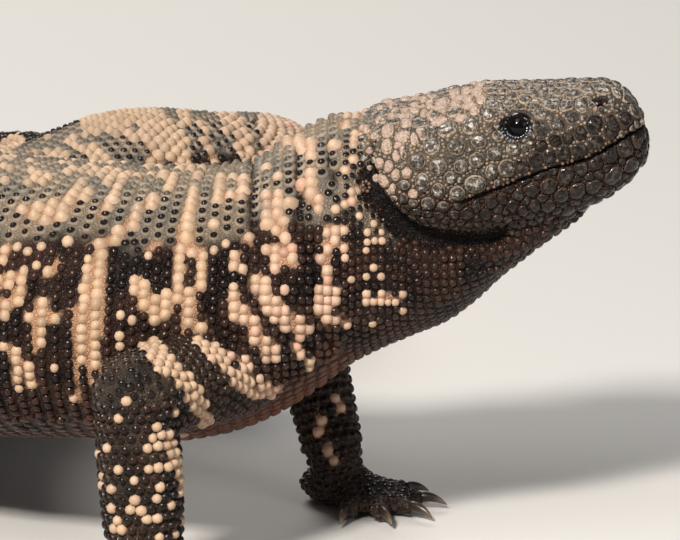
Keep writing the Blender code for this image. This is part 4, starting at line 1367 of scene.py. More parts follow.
# Each plate grows until it meets its neighbours, with a thin seam left between them.
turns = 2 * math.pi * np.arange(PLATE_SIDES) / PLATE_SIDES
across, up = flat_axes(plates["facing"])
kinds = plates["kind"].astype(int)
growth = np.array([PLATE_KINDS[k][3] for k in kinds])
count = len(kinds)
spread = np.zeros((count, PLATE_SIDES))
for i in range(count):
    rel = plates["centre"] - plates["centre"][i]
    away = np.linalg.norm(rel, axis=1)
    near = np.flatnonzero((away < PLATE_NEIGHBOURS) & (away > 0.05))
    x, y = rel[near] @ across[i], rel[near] @ up[i]
    distance = np.hypot(x, y)
    way = np.arctan2(y, x)
    mine = 1 / np.hypot(np.cos(way) / plates["half"][i, 0], np.sin(way) / plates["half"][i, 1])
    theirs = 1 / np.hypot(np.cos(way) / plates["half"][near, 0], np.sin(way) / plates["half"][near, 1])
    border = distance * mine / (mine + theirs) - PLATE_GAP / 2
    own = growth[i] / np.hypot(np.cos(turns) / plates["half"][i, 0], np.sin(turns) / plates["half"][i, 1])
    slant = np.cos(turns[:, None] - way[None])
    limits = np.where(slant > 0.05, border / np.maximum(slant, 0.05), 99.0)
    limits = np.concatenate((np.maximum(limits, LEAST_PLATE_REACH), own[:, None]), axis=1)
    spread[i] = (limits ** -CORNER_ROUNDING).sum(1) ** (-1 / CORNER_ROUNDING)

# A plate stops at the mouth, the lids and the nostrils.
over = above_mouth(plates["centre"])
beside_mouth = plates["centre"][:, 0] > MOUTH_CORNER - 2
best = np.full(spread.shape, CLIP_SHARES[0])
outwards = np.cos(turns)[None, :, None] * across[:, None] + np.sin(turns)[None, :, None] * up[:, None]
for share in CLIP_SHARES:
    reach_out = spread * share
    edge = (plates["centre"][:, None] + reach_out[..., None] * outwards).reshape(-1, 3)
    own_side = above_mouth(edge) * np.repeat(np.sign(over), PLATE_SIDES)
    clear = (own_side > MOUTH_MARGIN) | np.repeat(~beside_mouth, PLATE_SIDES)
    for centre, _ in EYES.values():
        clear &= np.linalg.norm(edge - centre, axis=1) > LID_EDGE + 0.1
    for place in (nostril[0], mirrored(nostril)[0]):
        clear &= np.linalg.norm(edge - place, axis=1) > NOSTRIL_RADIUS + 0.15
    clear = clear.reshape(spread.shape) & (best >= share - 0.06)
    best = np.where(clear, share, best)
spread = spread * best


def map_places(places, place_parts):
    """Where places lie on the coat's map: the body's length laid flat, with legs and head beside it."""
    maps = np.zeros((len(places), 3))
    distance, turn, _ = body_place(places)
    rows = body_track(distance)
    maps[:, 0] = BODY_MAP[0] + distance / MAP_WIDTH
    maps[:, 1] = BODY_MAP[1] + turn * (rows[:, 3] + rows[:, 4]) / 2 / MAP_WIDTH
    on_head = place_parts == HEAD_PART
    level = np.interp(places[:, 0], head_centre[:, 0], head_centre[:, 2])
    half = np.interp(places[:, 0], head_centre[:, 0], head_centre[:, 3])
    turn = np.arctan2(places[:, 1] - head_middle(places), places[:, 2] - level)
    maps[on_head, 0] = (HEAD_MAP[0] + places[:, 0] / MAP_WIDTH)[on_head]
    maps[on_head, 1] = (HEAD_MAP[1] + turn * (half + 10.0) / 2 / MAP_WIDTH)[on_head]
    for slot, (leg_name, leg) in enumerate(LEGS.items()):
        upper, lower = leg_points(leg)
        for share, path, radii in (("_upper", upper, leg["upper"]), ("_lower", lower, leg["lower"])):
            mine = np.flatnonzero(place_parts == PART_NAMES.index(leg_name + share))
            if len(mine) == 0:
                continue
            at, total = limb_axis(path, radii)
            fine = np.linspace(0.0, total, MAP_SAMPLES)
            centre, size, _, across, rise = at(fine)
            i = np.linalg.norm(places[mine][:, None] - centre[None], axis=2).argmin(1)
            rel = places[mine] - centre[i]
            turn = np.arctan2((rel * rise[i]).sum(1), (rel * across[i]).sum(1))
            lower_shift = LOWER_LEG_SHIFT if share == "_lower" else 0.0
            maps[mine, 0] = LEG_MAP[0] + LEG_MAP_STEP * slot + lower_shift + fine[i] / MAP_WIDTH
            maps[mine, 1] = LEG_MAP[1] + turn * size[i] / MAP_WIDTH
        mine = np.flatnonzero(place_parts == PART_NAMES.index(leg_name + "_foot"))
        rel = places[mine] - np.array((*leg["wrist"][:2], 0.0))
        maps[mine, 0] = FOOT_MAP + LEG_MAP_STEP * slot + rel[:, 0] / MAP_WIDTH
        maps[mine, 1] = np.where(places[mine, 2] < 1.5, SOLE_LEVEL, FOOT_LEVEL) + rel[:, 1] / MAP_WIDTH
    return maps


def plate_mesh(name, chosen):
    """One mesh of plates, whose rings follow the hide under them."""
    maps = map_places(plates["centre"][chosen], np.full(len(chosen), HEAD_PART))
    flat = []
    for i in chosen:
        profile = PLATE_KINDS[kinds[i]][2]
        for share, height in (*profile, (0.0, 1.0)):
            steps = turns if share else turns[:1]
            reach_out = (spread[i] if share else spread[i][:1]) * share
            x, y = reach_out * np.cos(steps), reach_out * np.sin(steps)
            flat.append(np.column_stack((plates["centre"][i] + x[:, None] * across[i] + y[:, None] * up[i],
                                         np.full(len(steps), height * PLATE_KINDS[kinds[i]][1]), x, y,
                                         np.full(len(steps), share), np.full(len(steps), i))))
    flat = np.concatenate(flat)
    on_hide, lift, _ = settled(flat[:, :3])
    own = flat[:, 7].astype(int)
    lift = unit(lift + 0.5 * plates["facing"][own])
    size = spread[own].mean(1)
    height = flat[:, 3] * np.minimum(1.0, 0.25 + size / FULL_HEIGHT_SIZE)
    vertices = on_hide + lift * height[:, None]
    per_plate = PLATE_SIDES * len(DOME) + 1
    faces = []
    for p in range(len(chosen)):
        base = p * per_plate
        for r in range(len(DOME) - 1):
            faces += band(base + r * PLATE_SIDES, base + (r + 1) * PLATE_SIDES, PLATE_SIDES)
        faces += cap(base + (len(DOME) - 1) * PLATE_SIDES, base + per_plate - 1, PLATE_SIDES)
    piece = new_object(name, vertices, faces)
    mesh = piece.data
    mesh.shade_smooth()
    cut = plates["cut"][own]
    side = (flat[:, 4] * cut[:, 0] + flat[:, 5] * cut[:, 1]) / size
    pale_here = np.where(np.abs(cut).sum(1) > 0, ramp(-0.25, 0.1, side), plates["pale"][own])
    give_attribute(mesh, "pale", pale_here)
    give_attribute(mesh, "shade", plates["shade"][own])
    give_attribute(mesh, "rim", flat[:, 6])
    give_attribute(mesh, "tint", 0.9 + 0.3 * noise_at(vertices, 5.0, 9))
    roots = maps[np.repeat(np.arange(len(chosen)), per_plate)][:, :2]
    patch = np.stack((flat[:, 4] / size, flat[:, 5] / size), 1) / PATCH_MARGIN
    sheet = mesh.uv_layers.new(name="OFBake")
    corner_of = np.zeros(len(mesh.loops), np.int32)
    mesh.loops.foreach_get("vertex_index", corner_of)
    sheet.data.foreach_set("uv", (roots + patch * PATCH_SIZE)[corner_of].astype(np.float32).ravel())
    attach(piece, "root")
    return piece


plate_finish, tree_nodes, shader = new_finish("plate_horn")
position = add(tree_nodes, "ShaderNodeTexCoord").outputs["Object"]
mottle = clouds(tree_nodes, position, 1000.0, 2.0)
fine = clouds(tree_nodes, position, 3000.0, 2.0)
shade = attribute(tree_nodes, "shade")
rim = attribute(tree_nodes, "rim")
horn = mixed(tree_nodes, shade, tone(14, 8, 5), tone(72, 64, 57))
# Lighter mottling over the horn: painted highlights, broken up as on a pitted surface.
horn = mixed(tree_nodes, span(tree_nodes, mottle, 0.4, 0.62, 0.0, 0.7), horn,
             mixed(tree_nodes, shade, tone(37, 25, 18), tone(148, 137, 122)))
# Pale specks away from each plate's rim: painted glints.
painted_glint = maths(tree_nodes, "MULTIPLY", span(tree_nodes, mottle, 0.52, 0.64), span(tree_nodes, rim, 0.9, 0.5))
horn = mixed(tree_nodes, maths(tree_nodes, "MULTIPLY", painted_glint, 0.7), horn,
             mixed(tree_nodes, shade, tone(50, 38, 30), tone(226, 216, 204)))
horn = mixed(tree_nodes, span(tree_nodes, fine, 0.5, 0.66, 0.0, 0.7), horn, tone(28, 24, 23))
fair = mixed(tree_nodes, attribute(tree_nodes, "tint"), tone(166, 139, 115), tone(173, 148, 132))
fair = mixed(tree_nodes, span(tree_nodes, fine, 0.55, 0.75, 0.0, 0.3), fair, BROWN)
colour = mixed(tree_nodes, attribute(tree_nodes, "pale"), horn, fair)
edge_share = maths(tree_nodes, "MULTIPLY", span(tree_nodes, rim, 0.84, 0.93), 0.8)
edge_tone = mixed(tree_nodes, shade, tone(62, 44, 34), tone(192, 171, 146))
colour = mixed(tree_nodes, edge_share, colour, edge_tone)
tree_nodes.links.new(colour, shader.inputs["Base Color"])
dullness = maths(tree_nodes, "ADD", span(tree_nodes, shade, 0.05, 0.6, 0.1, 0.26),
                 span(tree_nodes, fine, 0.3, 0.7, -0.05, 0.12))
tree_nodes.links.new(dullness, shader.inputs["Roughness"])
lumps = add(tree_nodes, "ShaderNodeTexVoronoi", {"feature": "SMOOTH_F1"},
            {"Vector": position, "Scale": 1700.0}).outputs["Distance"]
uneven = maths(tree_nodes, "SUBTRACT", maths(tree_nodes, "MULTIPLY", fine, 0.4), lumps)
lump_height = span(tree_nodes, shade, 0.1, 0.6, 0.00012, 0.0006)
bump = add(tree_nodes, "ShaderNodeBump", {}, {"Height": uneven, "Strength": 1.0, "Distance": lump_height})
tree_nodes.links.new(bump.outputs[0], shader.inputs["Normal"])
shader.inputs["Specular IOR Level"].default_value = 0.24
upper_side = over > 0
for name, mine in (("plates_head", upper_side), ("plates_jaw", ~upper_side)):
    plate_mesh(name, np.flatnonzero(mine)).data.materials.append(plate_finish)

# The beads: bony scales in the hide, set in staggered rows round the body, the tail and the legs. Each
# is a low dome with its own outline, given as rings of radius and height. Those of the back are wide
# grey mounds with a small glossy black tip, and those of the pale marks are grown together.
BEAD_SIDES = 8
ROUND_BEAD = ((1.0, -0.35), (0.94, 0.36), (0.68, 0.76), (0.34, 0.95))
TIPPED_BEAD = ((1.1, -0.25), (0.98, 0.1), (0.74, 0.36), (0.53, 0.66), (0.3, 0.92))
FLAT_BEAD = ((1.0, -0.5), (0.93, 0.5), (0.62, 0.86), (0.3, 0.97))
GRANULE = ((1.0, -0.35), (0.84, 0.45), (0.45, 0.88))
FUSED_BEAD = ((1.28, -0.25), (0.98, 0.18), (0.7, 0.62), (0.36, 0.91))
BEAD_PROFILES = {"bead_1_round": ROUND_BEAD, "bead_2_tipped": TIPPED_BEAD, "bead_3_flat": FLAT_BEAD,
                 "bead_4_granule": GRANULE, "bead_5_fused": FUSED_BEAD}
ROUND, TIPPED, FLAT, GRAIN, FUSED = range(5)
GRANULE_SIDES = 6
GRANULE_TIP = 0.17

bead_shapes = bpy.data.collections.new("bead_shapes")
bpy.context.scene.collection.children.link(bead_shapes)
for name, profile in BEAD_PROFILES.items():
    sides = GRANULE_SIDES if profile is GRANULE else BEAD_SIDES
    angles = [2 * math.pi * k / sides for k in range(sides)]
    corners = [(radius * math.cos(turn), radius * math.sin(turn), height)
               for radius, height in profile for turn in angles]
    corners.append((0.0, 0.0, 1.0))
    faces = [face for r in range(len(profile) - 1) for face in band(r * sides, (r + 1) * sides, sides)]
    faces += cap((len(profile) - 1) * sides, len(corners) - 1, sides)
    mesh = bpy.data.meshes.new(name)
    mesh.from_pydata(corners, [], faces)
    mesh.shade_smooth()
    tip_share = GRANULE_TIP if profile is GRANULE else 1.0
    give_attribute(mesh, "tip", [max(0.0, height) * tip_share for _, _, height in corners])
    give_attribute(mesh, "patch", [(x / 2, y / 2, 0.0) for x, y, _ in corners], "FLOAT_VECTOR")
    bead_shapes.objects.link(bpy.data.objects.new(name, mesh))


def bead_tree():
    """Sets a bead on every point, turned to its normal and row, with its patch of the coat's map."""
    tree = bpy.data.node_groups.new("set_beads", "GeometryNodeTree")
    for label, kind in (("Points", "Geometry"), ("Shapes", "Collection"), ("Finish", "Material"),
                        ("Patch size", "Float")):
        tree.interface.new_socket(label, in_out="INPUT", socket_type="NodeSocket" + kind)
    tree.interface.new_socket("Coat", in_out="OUTPUT", socket_type="NodeSocketGeometry")
    given = tree.nodes.new("NodeGroupInput").outputs

    def named(name, kind="FLOAT_VECTOR"):
        made = add(tree, "GeometryNodeInputNamedAttribute", {"data_type": kind}, {"Name": name})
        return made.outputs["Attribute"]

    shapes = add(tree, "GeometryNodeCollectionInfo", {}, {
        "Collection": given["Shapes"], "Separate Children": True, "Reset Children": True}).outputs[0]
    turning = add(tree, "FunctionNodeAxesToRotation", {"primary_axis": "Z", "secondary_axis": "X"},
                  {0: named("facing"), 1: named("along")}).outputs[0]
    set_down = add(tree, "GeometryNodeInstanceOnPoints", {}, {
        "Points": given["Points"], "Instance": shapes, "Pick Instance": True,
        "Instance Index": named("shape", "INT"), "Rotation": turning, "Scale": named("size")}).outputs[0]
    real = add(tree, "GeometryNodeRealizeInstances", {}, {0: set_down}).outputs[0]
    patch = add(tree, "ShaderNodeVectorMath", {"operation": "SCALE"},
                {0: named("patch"), "Scale": given["Patch size"]}).outputs[0]
    place = add(tree, "ShaderNodeVectorMath", {"operation": "ADD"}, {0: named("root"), 1: patch}).outputs[0]
    mapped = add(tree, "GeometryNodeStoreNamedAttribute", {"data_type": "FLOAT2", "domain": "CORNER"},
                 {"Geometry": real, "Name": "OFBake", "Value": place}).outputs[0]
    finished = add(tree, "GeometryNodeSetMaterial", {},
                   {"Geometry": mapped, "Material": given["Finish"]}).outputs[0]
    tree.links.new(finished, tree.nodes.new("NodeGroupOutput").inputs[0])
    return tree


set_beads = bead_tree()
bead_finish, tree_nodes, shader = new_finish("bead_horn")
tip = attribute(tree_nodes, "tip")
pale_mark = attribute(tree_nodes, "pale")
colour, roughness = coat_nodes(tree_nodes, tip)
# The foot of each bead is darkened, towards brown on dark beads and orange-brown on pale ones: painted
# shade between the beads.
base_shade_height = span(tree_nodes, attribute(tree_nodes, "dust"), 0.1, 0.8, 0.46, 0.2)
base_shade = maths(tree_nodes, "MULTIPLY", span(tree_nodes, tip, 0.0, base_shade_height, 0.85, 0.0),
                span(tree_nodes, pale_mark, 0.4, 1.0, 1.0, 0.6))
base_shade_tone = mixed(tree_nodes, 0.62, colour, mixed(tree_nodes, pale_mark, BROWN, tone(140, 82, 50)))
colour = mixed(tree_nodes, base_shade, colour, base_shade_tone)
position = add(tree_nodes, "ShaderNodeTexCoord").outputs["Object"]
pits = clouds(tree_nodes, position, 2600.0, 3.0)
bump = add(tree_nodes, "ShaderNodeBump", {}, {"Height": pits, "Strength": 0.5, "Distance": 0.00016})
tree_nodes.links.new(colour, shader.inputs["Base Color"])
tree_nodes.links.new(roughness, shader.inputs["Roughness"])
shader.inputs["Specular IOR Level"].default_value = 0.24
tree_nodes.links.new(bump.outputs[0], shader.inputs["Normal"])

PLACE_SCATTER = 0.1
TURN_SCATTER = 0.12
BODY_HIDE_GAP = 1.6
LIMB_HIDE_GAP = 1.2


class Beads:
    """Bead places gathered in lists, and the arrays made from them."""

    def __init__(self):
        self.rows = []

    def take(self, places, along, half_sizes, shape, most_off=BODY_HIDE_GAP):
        """Adds beads at places on a part's own surface where the hide is close to it."""
        places = places + rng.normal(0.0, PLACE_SCATTER, np.shape(places))
        spots, facing, off = settled(places)
        near = off < most_off
        along = unit(np.asarray(along) + rng.normal(0.0, TURN_SCATTER, np.shape(places)))
        sizes = np.broadcast_to(np.asarray(half_sizes, float), (len(places), 3))
        self.rows.append((spots[near], facing[near], along[near], sizes[near],
                          np.full(near.sum(), shape)))

    def arrays(self):
        """Places, normals, row directions, half sizes and shapes of all beads taken."""
        return [np.concatenate(column) for column in zip(*self.rows)]


# Zones of rows: first and last turn from the midline of the back in degrees, row step, pitch in the
# row, half sizes along the body, across it and in height, and the bead's shape.
BODY_ZONES = (
    (0, 48, 2.5, 2.5, (1.32, 1.3, 1.25), TIPPED),
    (48, 128, 1.95, 2.12, (1.0, 1.1, 0.82), ROUND),
    (128, 181, 2.6, 2.5, (1.24, 1.2, 0.42), FLAT),
)
THROAT_END = 52.0
THROAT_ZONES = (
    (0, 110, 1.8, 1.85, (0.86, 0.86, 0.62), ROUND),
    (110, 181, 1.9, 1.9, (0.92, 0.92, 0.5), ROUND),
)
TAIL_TIP_START = BODY_LENGTH - 38.0
TAIL_TIP_ZONES = ((0, 181, 1.9, 1.9, (0.93, 0.93, 0.6), ROUND),)
RING_SAMPLES = 361
beads = Beads()


def body_rows(zones, start, end):
    """Rings of beads round the body, every other ring shifted by half a pitch."""
    for low, high, step, pitch, half_sizes, shape in zones:
        for row, distance in enumerate(np.arange(start, end, step)):
            for side in (1, -1):
                turns = math.pi / 2 - side * np.radians(np.linspace(low, high, RING_SAMPLES))
                ring = body_surface(np.full(RING_SAMPLES, distance), turns, -BODY_COAT)
                arc = np.concatenate(([0.0], np.cumsum(np.linalg.norm(np.diff(ring, axis=0), axis=1))))
                first = (0.5 if row % 2 else (0.0 if side > 0 and low == 0 else 1.0)) * pitch
                stops = np.arange(first, arc[-1], pitch)
                if len(stops) == 0:
                    continue
                places = np.stack([np.interp(stops, arc, ring[:, c]) for c in range(3)], 1)
                ahead = body_axis(np.full(len(places), distance))[1]
                beads.take(places, np.column_stack((ahead, np.zeros(len(places)))), half_sizes, shape)


body_rows(THROAT_ZONES, 1.0, THROAT_END)
body_rows(BODY_ZONES, THROAT_END, TAIL_TIP_START)
body_rows(TAIL_TIP_ZONES, TAIL_TIP_START, BODY_LENGTH)

LEG_ROW_STEP = 2.1
LEG_PITCH = 2.2
LEG_BEAD = (1.09, 1.12, 1.05)
TOE_ROW_STEP = 1.5
TOE_PITCH = 1.5
TOE_BEAD = (0.76, 0.76, 0.4)
LEAST_RING = 6


def limb_rows(path, radii, step, pitch, half_sizes, grow):
    """Rings of beads round a length of leg or a toe, staggered like the body's."""
    at, total = limb_axis(path, radii)
    for row, distance in enumerate(np.arange(step / 2, total, step)):
        centre, radius, ahead, across, rise = (value[0] for value in at(np.array([distance])))
        count = max(LEAST_RING, round(2 * math.pi * (radius + grow) / pitch))
        turn = 2 * math.pi * (np.arange(count) + 0.5 * (row % 2)) / count
        out = np.cos(turn)[:, None] * across + np.sin(turn)[:, None] * rise
        beads.take(centre + (radius + grow) * out, np.tile(ahead, (count, 1)), half_sizes, ROUND,
                   LIMB_HIDE_GAP)


for leg in LEGS.values():
    upper, lower = leg_points(leg)
    limb_rows(lower, leg["lower"], LEG_ROW_STEP, LEG_PITCH, LEG_BEAD, -LEG_COAT)
    limb_rows(upper, leg["upper"], LEG_ROW_STEP, LEG_PITCH, LEG_BEAD, -LEG_COAT)
    for i in range(len(TOE_LENGTHS)):
        radii = [TOE_RADIUS * share * leg["size"] for share in TOE_TAPER]
        limb_rows(toe_points(leg, i), radii, TOE_ROW_STEP, TOE_PITCH, TOE_BEAD, -FOOT_COAT)

# Places left bare by the rows, such as the palms, the armpits and the folds, are filled at random.
FILL_TRIES = 150000
HEAD_TRIES = 45000
GRANULE_RADIUS = 0.42
GRANULE_MARGIN = 0.35
PLATE_MARGIN = 0.3
FOOT_BEAD_RADIUS = 0.72
FOOT_BEAD_HEIGHT = 0.42
MOST_FILL_RADIUS = 1.0
FILL_HEIGHT_SHARE = 0.85
BARE_GAP = 1.55
ROW_SPACING = 0.83
FILL_SPACING = 0.86
ROW_CLEARANCE = 0.2
FILL_CLEARANCE = 0.55
spots, facing, along, sizes, shapes = beads.arrays()
bead_parts = parts_of(spots)
free = (bead_parts != HEAD_PART) & (crease_shade_at(spots) < BARE_FROM)
free &= spots[:, 2] > SOLE_HEIGHT + ROW_CLEARANCE
spots, facing, along, sizes, shapes = (v[free] for v in (spots, facing, along, sizes, shapes))
kept, taken = kept_apart(spots, sizes[:, :2].min(1), ROW_SPACING)
spots, facing, along, sizes, shapes = (v[kept] for v in (spots, facing, along, sizes, shapes))
fill = np.concatenate((random_spots(FILL_TRIES, ~head_faces)[0], random_spots(HEAD_TRIES, head_faces)[0]))
row_tree = point_tree(spots)
nearest = [row_tree.find(p)[1:] for p in fill]
like = np.array([n[0] for n in nearest])
gap = np.array([n[1] for n in nearest])
radius = sizes[like, :2].min(1)
bare = gap > BARE_GAP * radius
fill, radius, like = fill[bare], radius[bare], like[bare]
fill, fill_facing = settled(fill)[:2]
fill_parts = parts_of(fill)
fill_head = fill_parts == HEAD_PART
foot = np.char.endswith(np.array(PART_NAMES)[fill_parts], "_foot")
radius = np.where(foot, FOOT_BEAD_RADIUS, np.minimum(radius, MOST_FILL_RADIUS))
radius = radius * rng.uniform(0.96, 1.14, len(fill))
radius = np.where(fill_head, GRANULE_RADIUS * rng.uniform(0.85, 1.1, len(fill)), radius)
free = np.where(fill_head, open_head(fill, GRANULE_MARGIN) & ~on_plate(fill, PLATE_MARGIN), True)
free &= (crease_shade_at(fill) < BARE_FROM) & (fill[:, 2] > SOLE_HEIGHT + FILL_CLEARANCE)
fill, fill_facing, fill_head, radius, foot, like = (
    v[free] for v in (fill, fill_facing, fill_head, radius, foot, like))
kept = np.array(kept_apart(fill, radius, FILL_SPACING, taken)[0])
height = np.where(foot[kept], FOOT_BEAD_HEIGHT, FILL_HEIGHT_SHARE * radius[kept])
spots = np.concatenate((spots, fill[kept]))
facing = np.concatenate((facing, fill_facing[kept]))
along = np.concatenate((along, along[like[kept]]))
sizes = np.concatenate((sizes, np.stack((radius[kept], radius[kept], height), 1)))
shapes = np.concatenate((shapes, np.where(fill_head[kept], GRAIN, ROUND)))
bead_parts = parts_of(spots)

# Small wet granules stand in two rows along the lower lid and in one along the upper lid. A row is its
# distance from the eye's axis, its first and last turn in degrees, its count and its granules' radius.
LID_ROWS = ((2.5, 200, 355, 12, 0.27), (3.02, 195, 360, 13, 0.3), (2.5, 20, 165, 9, 0.2))
lid_spots = []
for centre, axis in EYES.values():
    up = unit(np.array((0.0, 0.0, 1.0)) - axis * axis[2])
    side = np.cross(up, axis)
    for away, first, last, count, radius in LID_ROWS:
        for angle in np.radians(np.linspace(first, last, count)):
            place = centre + axis * LID_HEIGHT + away * (math.cos(angle) * side + math.sin(angle) * up)
            lid_spots.append((*place, radius))
lid_spots = np.array(lid_spots)
lid_at, lid_facing = settled(lid_spots[:, :3])[:2]
lid_count = len(lid_spots)
spots = np.concatenate((spots, lid_at))
facing = np.concatenate((facing, lid_facing))
along = np.concatenate((along, np.tile((1.0, 0.0, 0.0), (lid_count, 1))))
sizes = np.concatenate((sizes, lid_spots[:, 3:] * (1.0, 1.0, 0.9)))
shapes = np.concatenate((shapes, np.full(lid_count, ROUND)))
bead_parts = np.concatenate((bead_parts, np.full(lid_count, HEAD_PART)))
on_lid = np.arange(len(spots)) >= len(spots) - lid_count

# Each bead is wholly pale or wholly dark, by where its middle lies. The ridge of the back is mottled,
# from the first to the second of its rows and columns in the photo.
RIDGE_ROWS = (196.0, 182.0)
RIDGE_COLUMNS = (215.0, 180.0)
PALE_FROM = 0.0
PALE_SPOT_REACH = 9
FAR_OFF = 99
FUSED_BELLY_HEIGHT = 1.6
SIZE_SCATTER = 0.05
PALE_SIZE = 1.06
DARK_SIZE = 0.97
bead_reach = pale_reach(spots, facing, bead_parts) + rng.normal(0.0, 0.12, len(spots))
bead_spots = photo_spots(spots)
ridge = ramp(*RIDGE_ROWS, bead_spots[:, 1]) * ramp(*RIDGE_COLUMNS, bead_spots[:, 0])
ridge *= (spots[:, 1] < REAR_FROM) & (bead_parts == BODY_PART)
bead_pale = (bead_reach > PALE_FROM) | ((ridge > 0.3) & (noise_at(spots, 4.5, 11) > 0.1))
seen = ((facing @ FACING_CAMERA) > 0.05) & (spots[:, 1] < REAR_FROM)
for spot in PALE_SPOTS:
    away = np.linalg.norm(bead_spots - spot, axis=1) + FAR_OFF * ~seen
    if away.min() < PALE_SPOT_REACH:
        bead_pale[np.argmin(away)] = True
granule = (bead_parts == HEAD_PART) & (above_mouth(spots) > -0.5) & ~on_lid
bead_pale = np.where(granule, rng.uniform(0.0, 0.5, len(spots)), bead_pale.astype(float))
bead_dust = dust_share(spots, bead_parts) * ~on_lid
bead_belly = belly_share(spots, facing, bead_parts)
bead_tint = ramp(*TINT_COLUMNS, bead_spots[:, 0]) * 0.55 + rng.normal(0.2, 0.2, len(spots))
bead_tint = np.clip(bead_tint, 0.0, 1.3)
bead_tint = np.where(bead_parts == BODY_PART, bead_tint + 0.45 * bead_belly, bead_tint + 0.1)
fused = np.isin(shapes, (TIPPED, ROUND, FLAT)) & (bead_pale > 0.5) & (bead_reach > PALE_FROM)
sizes[:, 2] *= np.where(fused & (shapes == FLAT), FUSED_BELLY_HEIGHT, 1.0)
shapes = np.where(fused, FUSED, shapes)
shapes = np.where((shapes == TIPPED) & (bead_pale > 0.5), ROUND, shapes)
sizes = sizes * rng.normal(1.0, SIZE_SCATTER, (len(sizes), 1))
sizes = sizes * rng.normal(1.0, SIZE_SCATTER, (len(sizes), 3))
sizes[:, :2] *= np.where(bead_pale > 0.5, PALE_SIZE, DARK_SIZE)[:, None]
bead_pale = np.clip(bead_pale - (bead_pale > 0.5) * np.abs(rng.normal(0.0, 0.12, len(spots))), 0.0, 1.0)


def coat_piece(name, chosen, finish=bead_finish):
    """One mesh of beads, made by the node tree from a mesh of points."""
    piece = new_object(name, spots[chosen], [])
    mesh = piece.data
    roots = map_places(spots[chosen], bead_parts[chosen])
    vectors = {"facing": facing[chosen], "along": along[chosen], "size": sizes[chosen] * MM, "root": roots}
    for label, values in vectors.items():
        give_attribute(mesh, label, values, "FLOAT_VECTOR")
    give_attribute(mesh, "shape", shapes[chosen], "INT")
    marks = {"pale": bead_pale, "tint": bead_tint, "dust": bead_dust, "belly": bead_belly}
    for label, values in marks.items():
        give_attribute(mesh, label, values[chosen])
    setting = piece.modifiers.new("set_beads", "NODES")
    setting.node_group = set_beads
    sockets = {item.name: item.identifier for item in set_beads.interface.items_tree
               if item.in_out == "INPUT"}
    setting[sockets["Shapes"]] = bead_shapes
    setting[sockets["Finish"]] = finish
    setting[sockets["Patch size"]] = PATCH_SIZE
    plain_mesh(piece)
    for label in ("facing", "along", "size", "root", "patch", "shape"):
        if label in piece.data.attributes:
            piece.data.attributes.remove(piece.data.attributes[label])
    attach(piece, "root")


lid_glint_finish, tree_nodes, shader = new_finish("lid_painted_glint")
position = add(tree_nodes, "ShaderNodeTexCoord").outputs["Object"]
# Pale blue-grey patches on the dark granules: a painted reflection of the sky on their wet surface.
painted_sky_glint = span(tree_nodes, clouds(tree_nodes, position, 2200.0, 2.0), 0.42, 0.6)
colour = mixed(tree_nodes, painted_sky_glint, tone(38, 38, 42), tone(150, 156, 166))
tree_nodes.links.new(colour, shader.inputs["Base Color"])
shader.inputs["Roughness"].default_value = 0.12
shader.inputs["Specular IOR Level"].default_value = 0.5
coat_piece("granules_lids", np.flatnonzero(on_lid), lid_glint_finish)
coat_piece("granules_head", np.flatnonzero((bead_parts == HEAD_PART) & ~on_lid))
# The last distance along the body of each piece of the coat.
BODY_PIECES = {"neck": 62.0, "shoulder": 100.0, "chest": 150.0, "belly": 200.0, "hip": 262.0, "rump": 310.0,
               "tail_base": 360.0, "tail_middle": 410.0, "tail_end": 999.0}
place_along = body_place(spots)[0]
start = -1.0
for name, end in BODY_PIECES.items():
    mine = (bead_parts == BODY_PART) & (place_along > start) & (place_along <= end)
    coat_piece("beads_" + name, np.flatnonzero(mine))
    start = end
for leg_name in LEGS:
    mine = np.isin(bead_parts, [i for i, part in enumerate(PART_NAMES) if part.startswith(leg_name)])
    coat_piece("beads_" + leg_name, np.flatnonzero(mine))
for shape_object in list(bead_shapes.objects):
    bpy.data.objects.remove(shape_object)
bpy.data.collections.remove(bead_shapes)


# The claws: short, curved and a little flat, of dark horn that turns paler to the point. They are rooted
# in the tips of the toes, and one piece holds the five claws of a foot.
CLAW_RADIUS = 1.15
CLAW_LENGTH = 5.6
CLAW_ROOT_DEPTH = 1.6
CLAW_RISE = 0.35
CLAW_DROP = 1.55
CLAW_ARCH = 0.9
CLAW_SIDES = 12
CLAW_RINGS = 12
CLAW_FLATNESS = 0.86
CLAW_TAPER = (1.7, 0.85)
CLAW_TIP_RADIUS = 0.06
CLAW_CLEARANCE = 0.02
claw_finish, tree_nodes, shader = new_finish("claw_horn")
position = add(tree_nodes, "ShaderNodeTexCoord").outputs["Object"]
streak = clouds(tree_nodes, position, 900.0, 4.0)
point = attribute(tree_nodes, "point")
horn = mixed(tree_nodes, span(tree_nodes, point, 0.35, 1.0), tone(46, 34, 26), tone(118, 98, 76))
horn = mixed(tree_nodes, span(tree_nodes, streak, 0.4, 0.7, 0.0, 0.6), horn, tone(30, 22, 18))
tree_nodes.links.new(horn, shader.inputs["Base Color"])
tree_nodes.links.new(span(tree_nodes, streak, 0.3, 0.7, 0.24, 0.42), shader.inputs["Roughness"])
bump = add(tree_nodes, "ShaderNodeBump", {}, {"Height": streak, "Strength": 0.4, "Distance": 0.0002})
tree_nodes.links.new(bump.outputs[0], shader.inputs["Normal"])
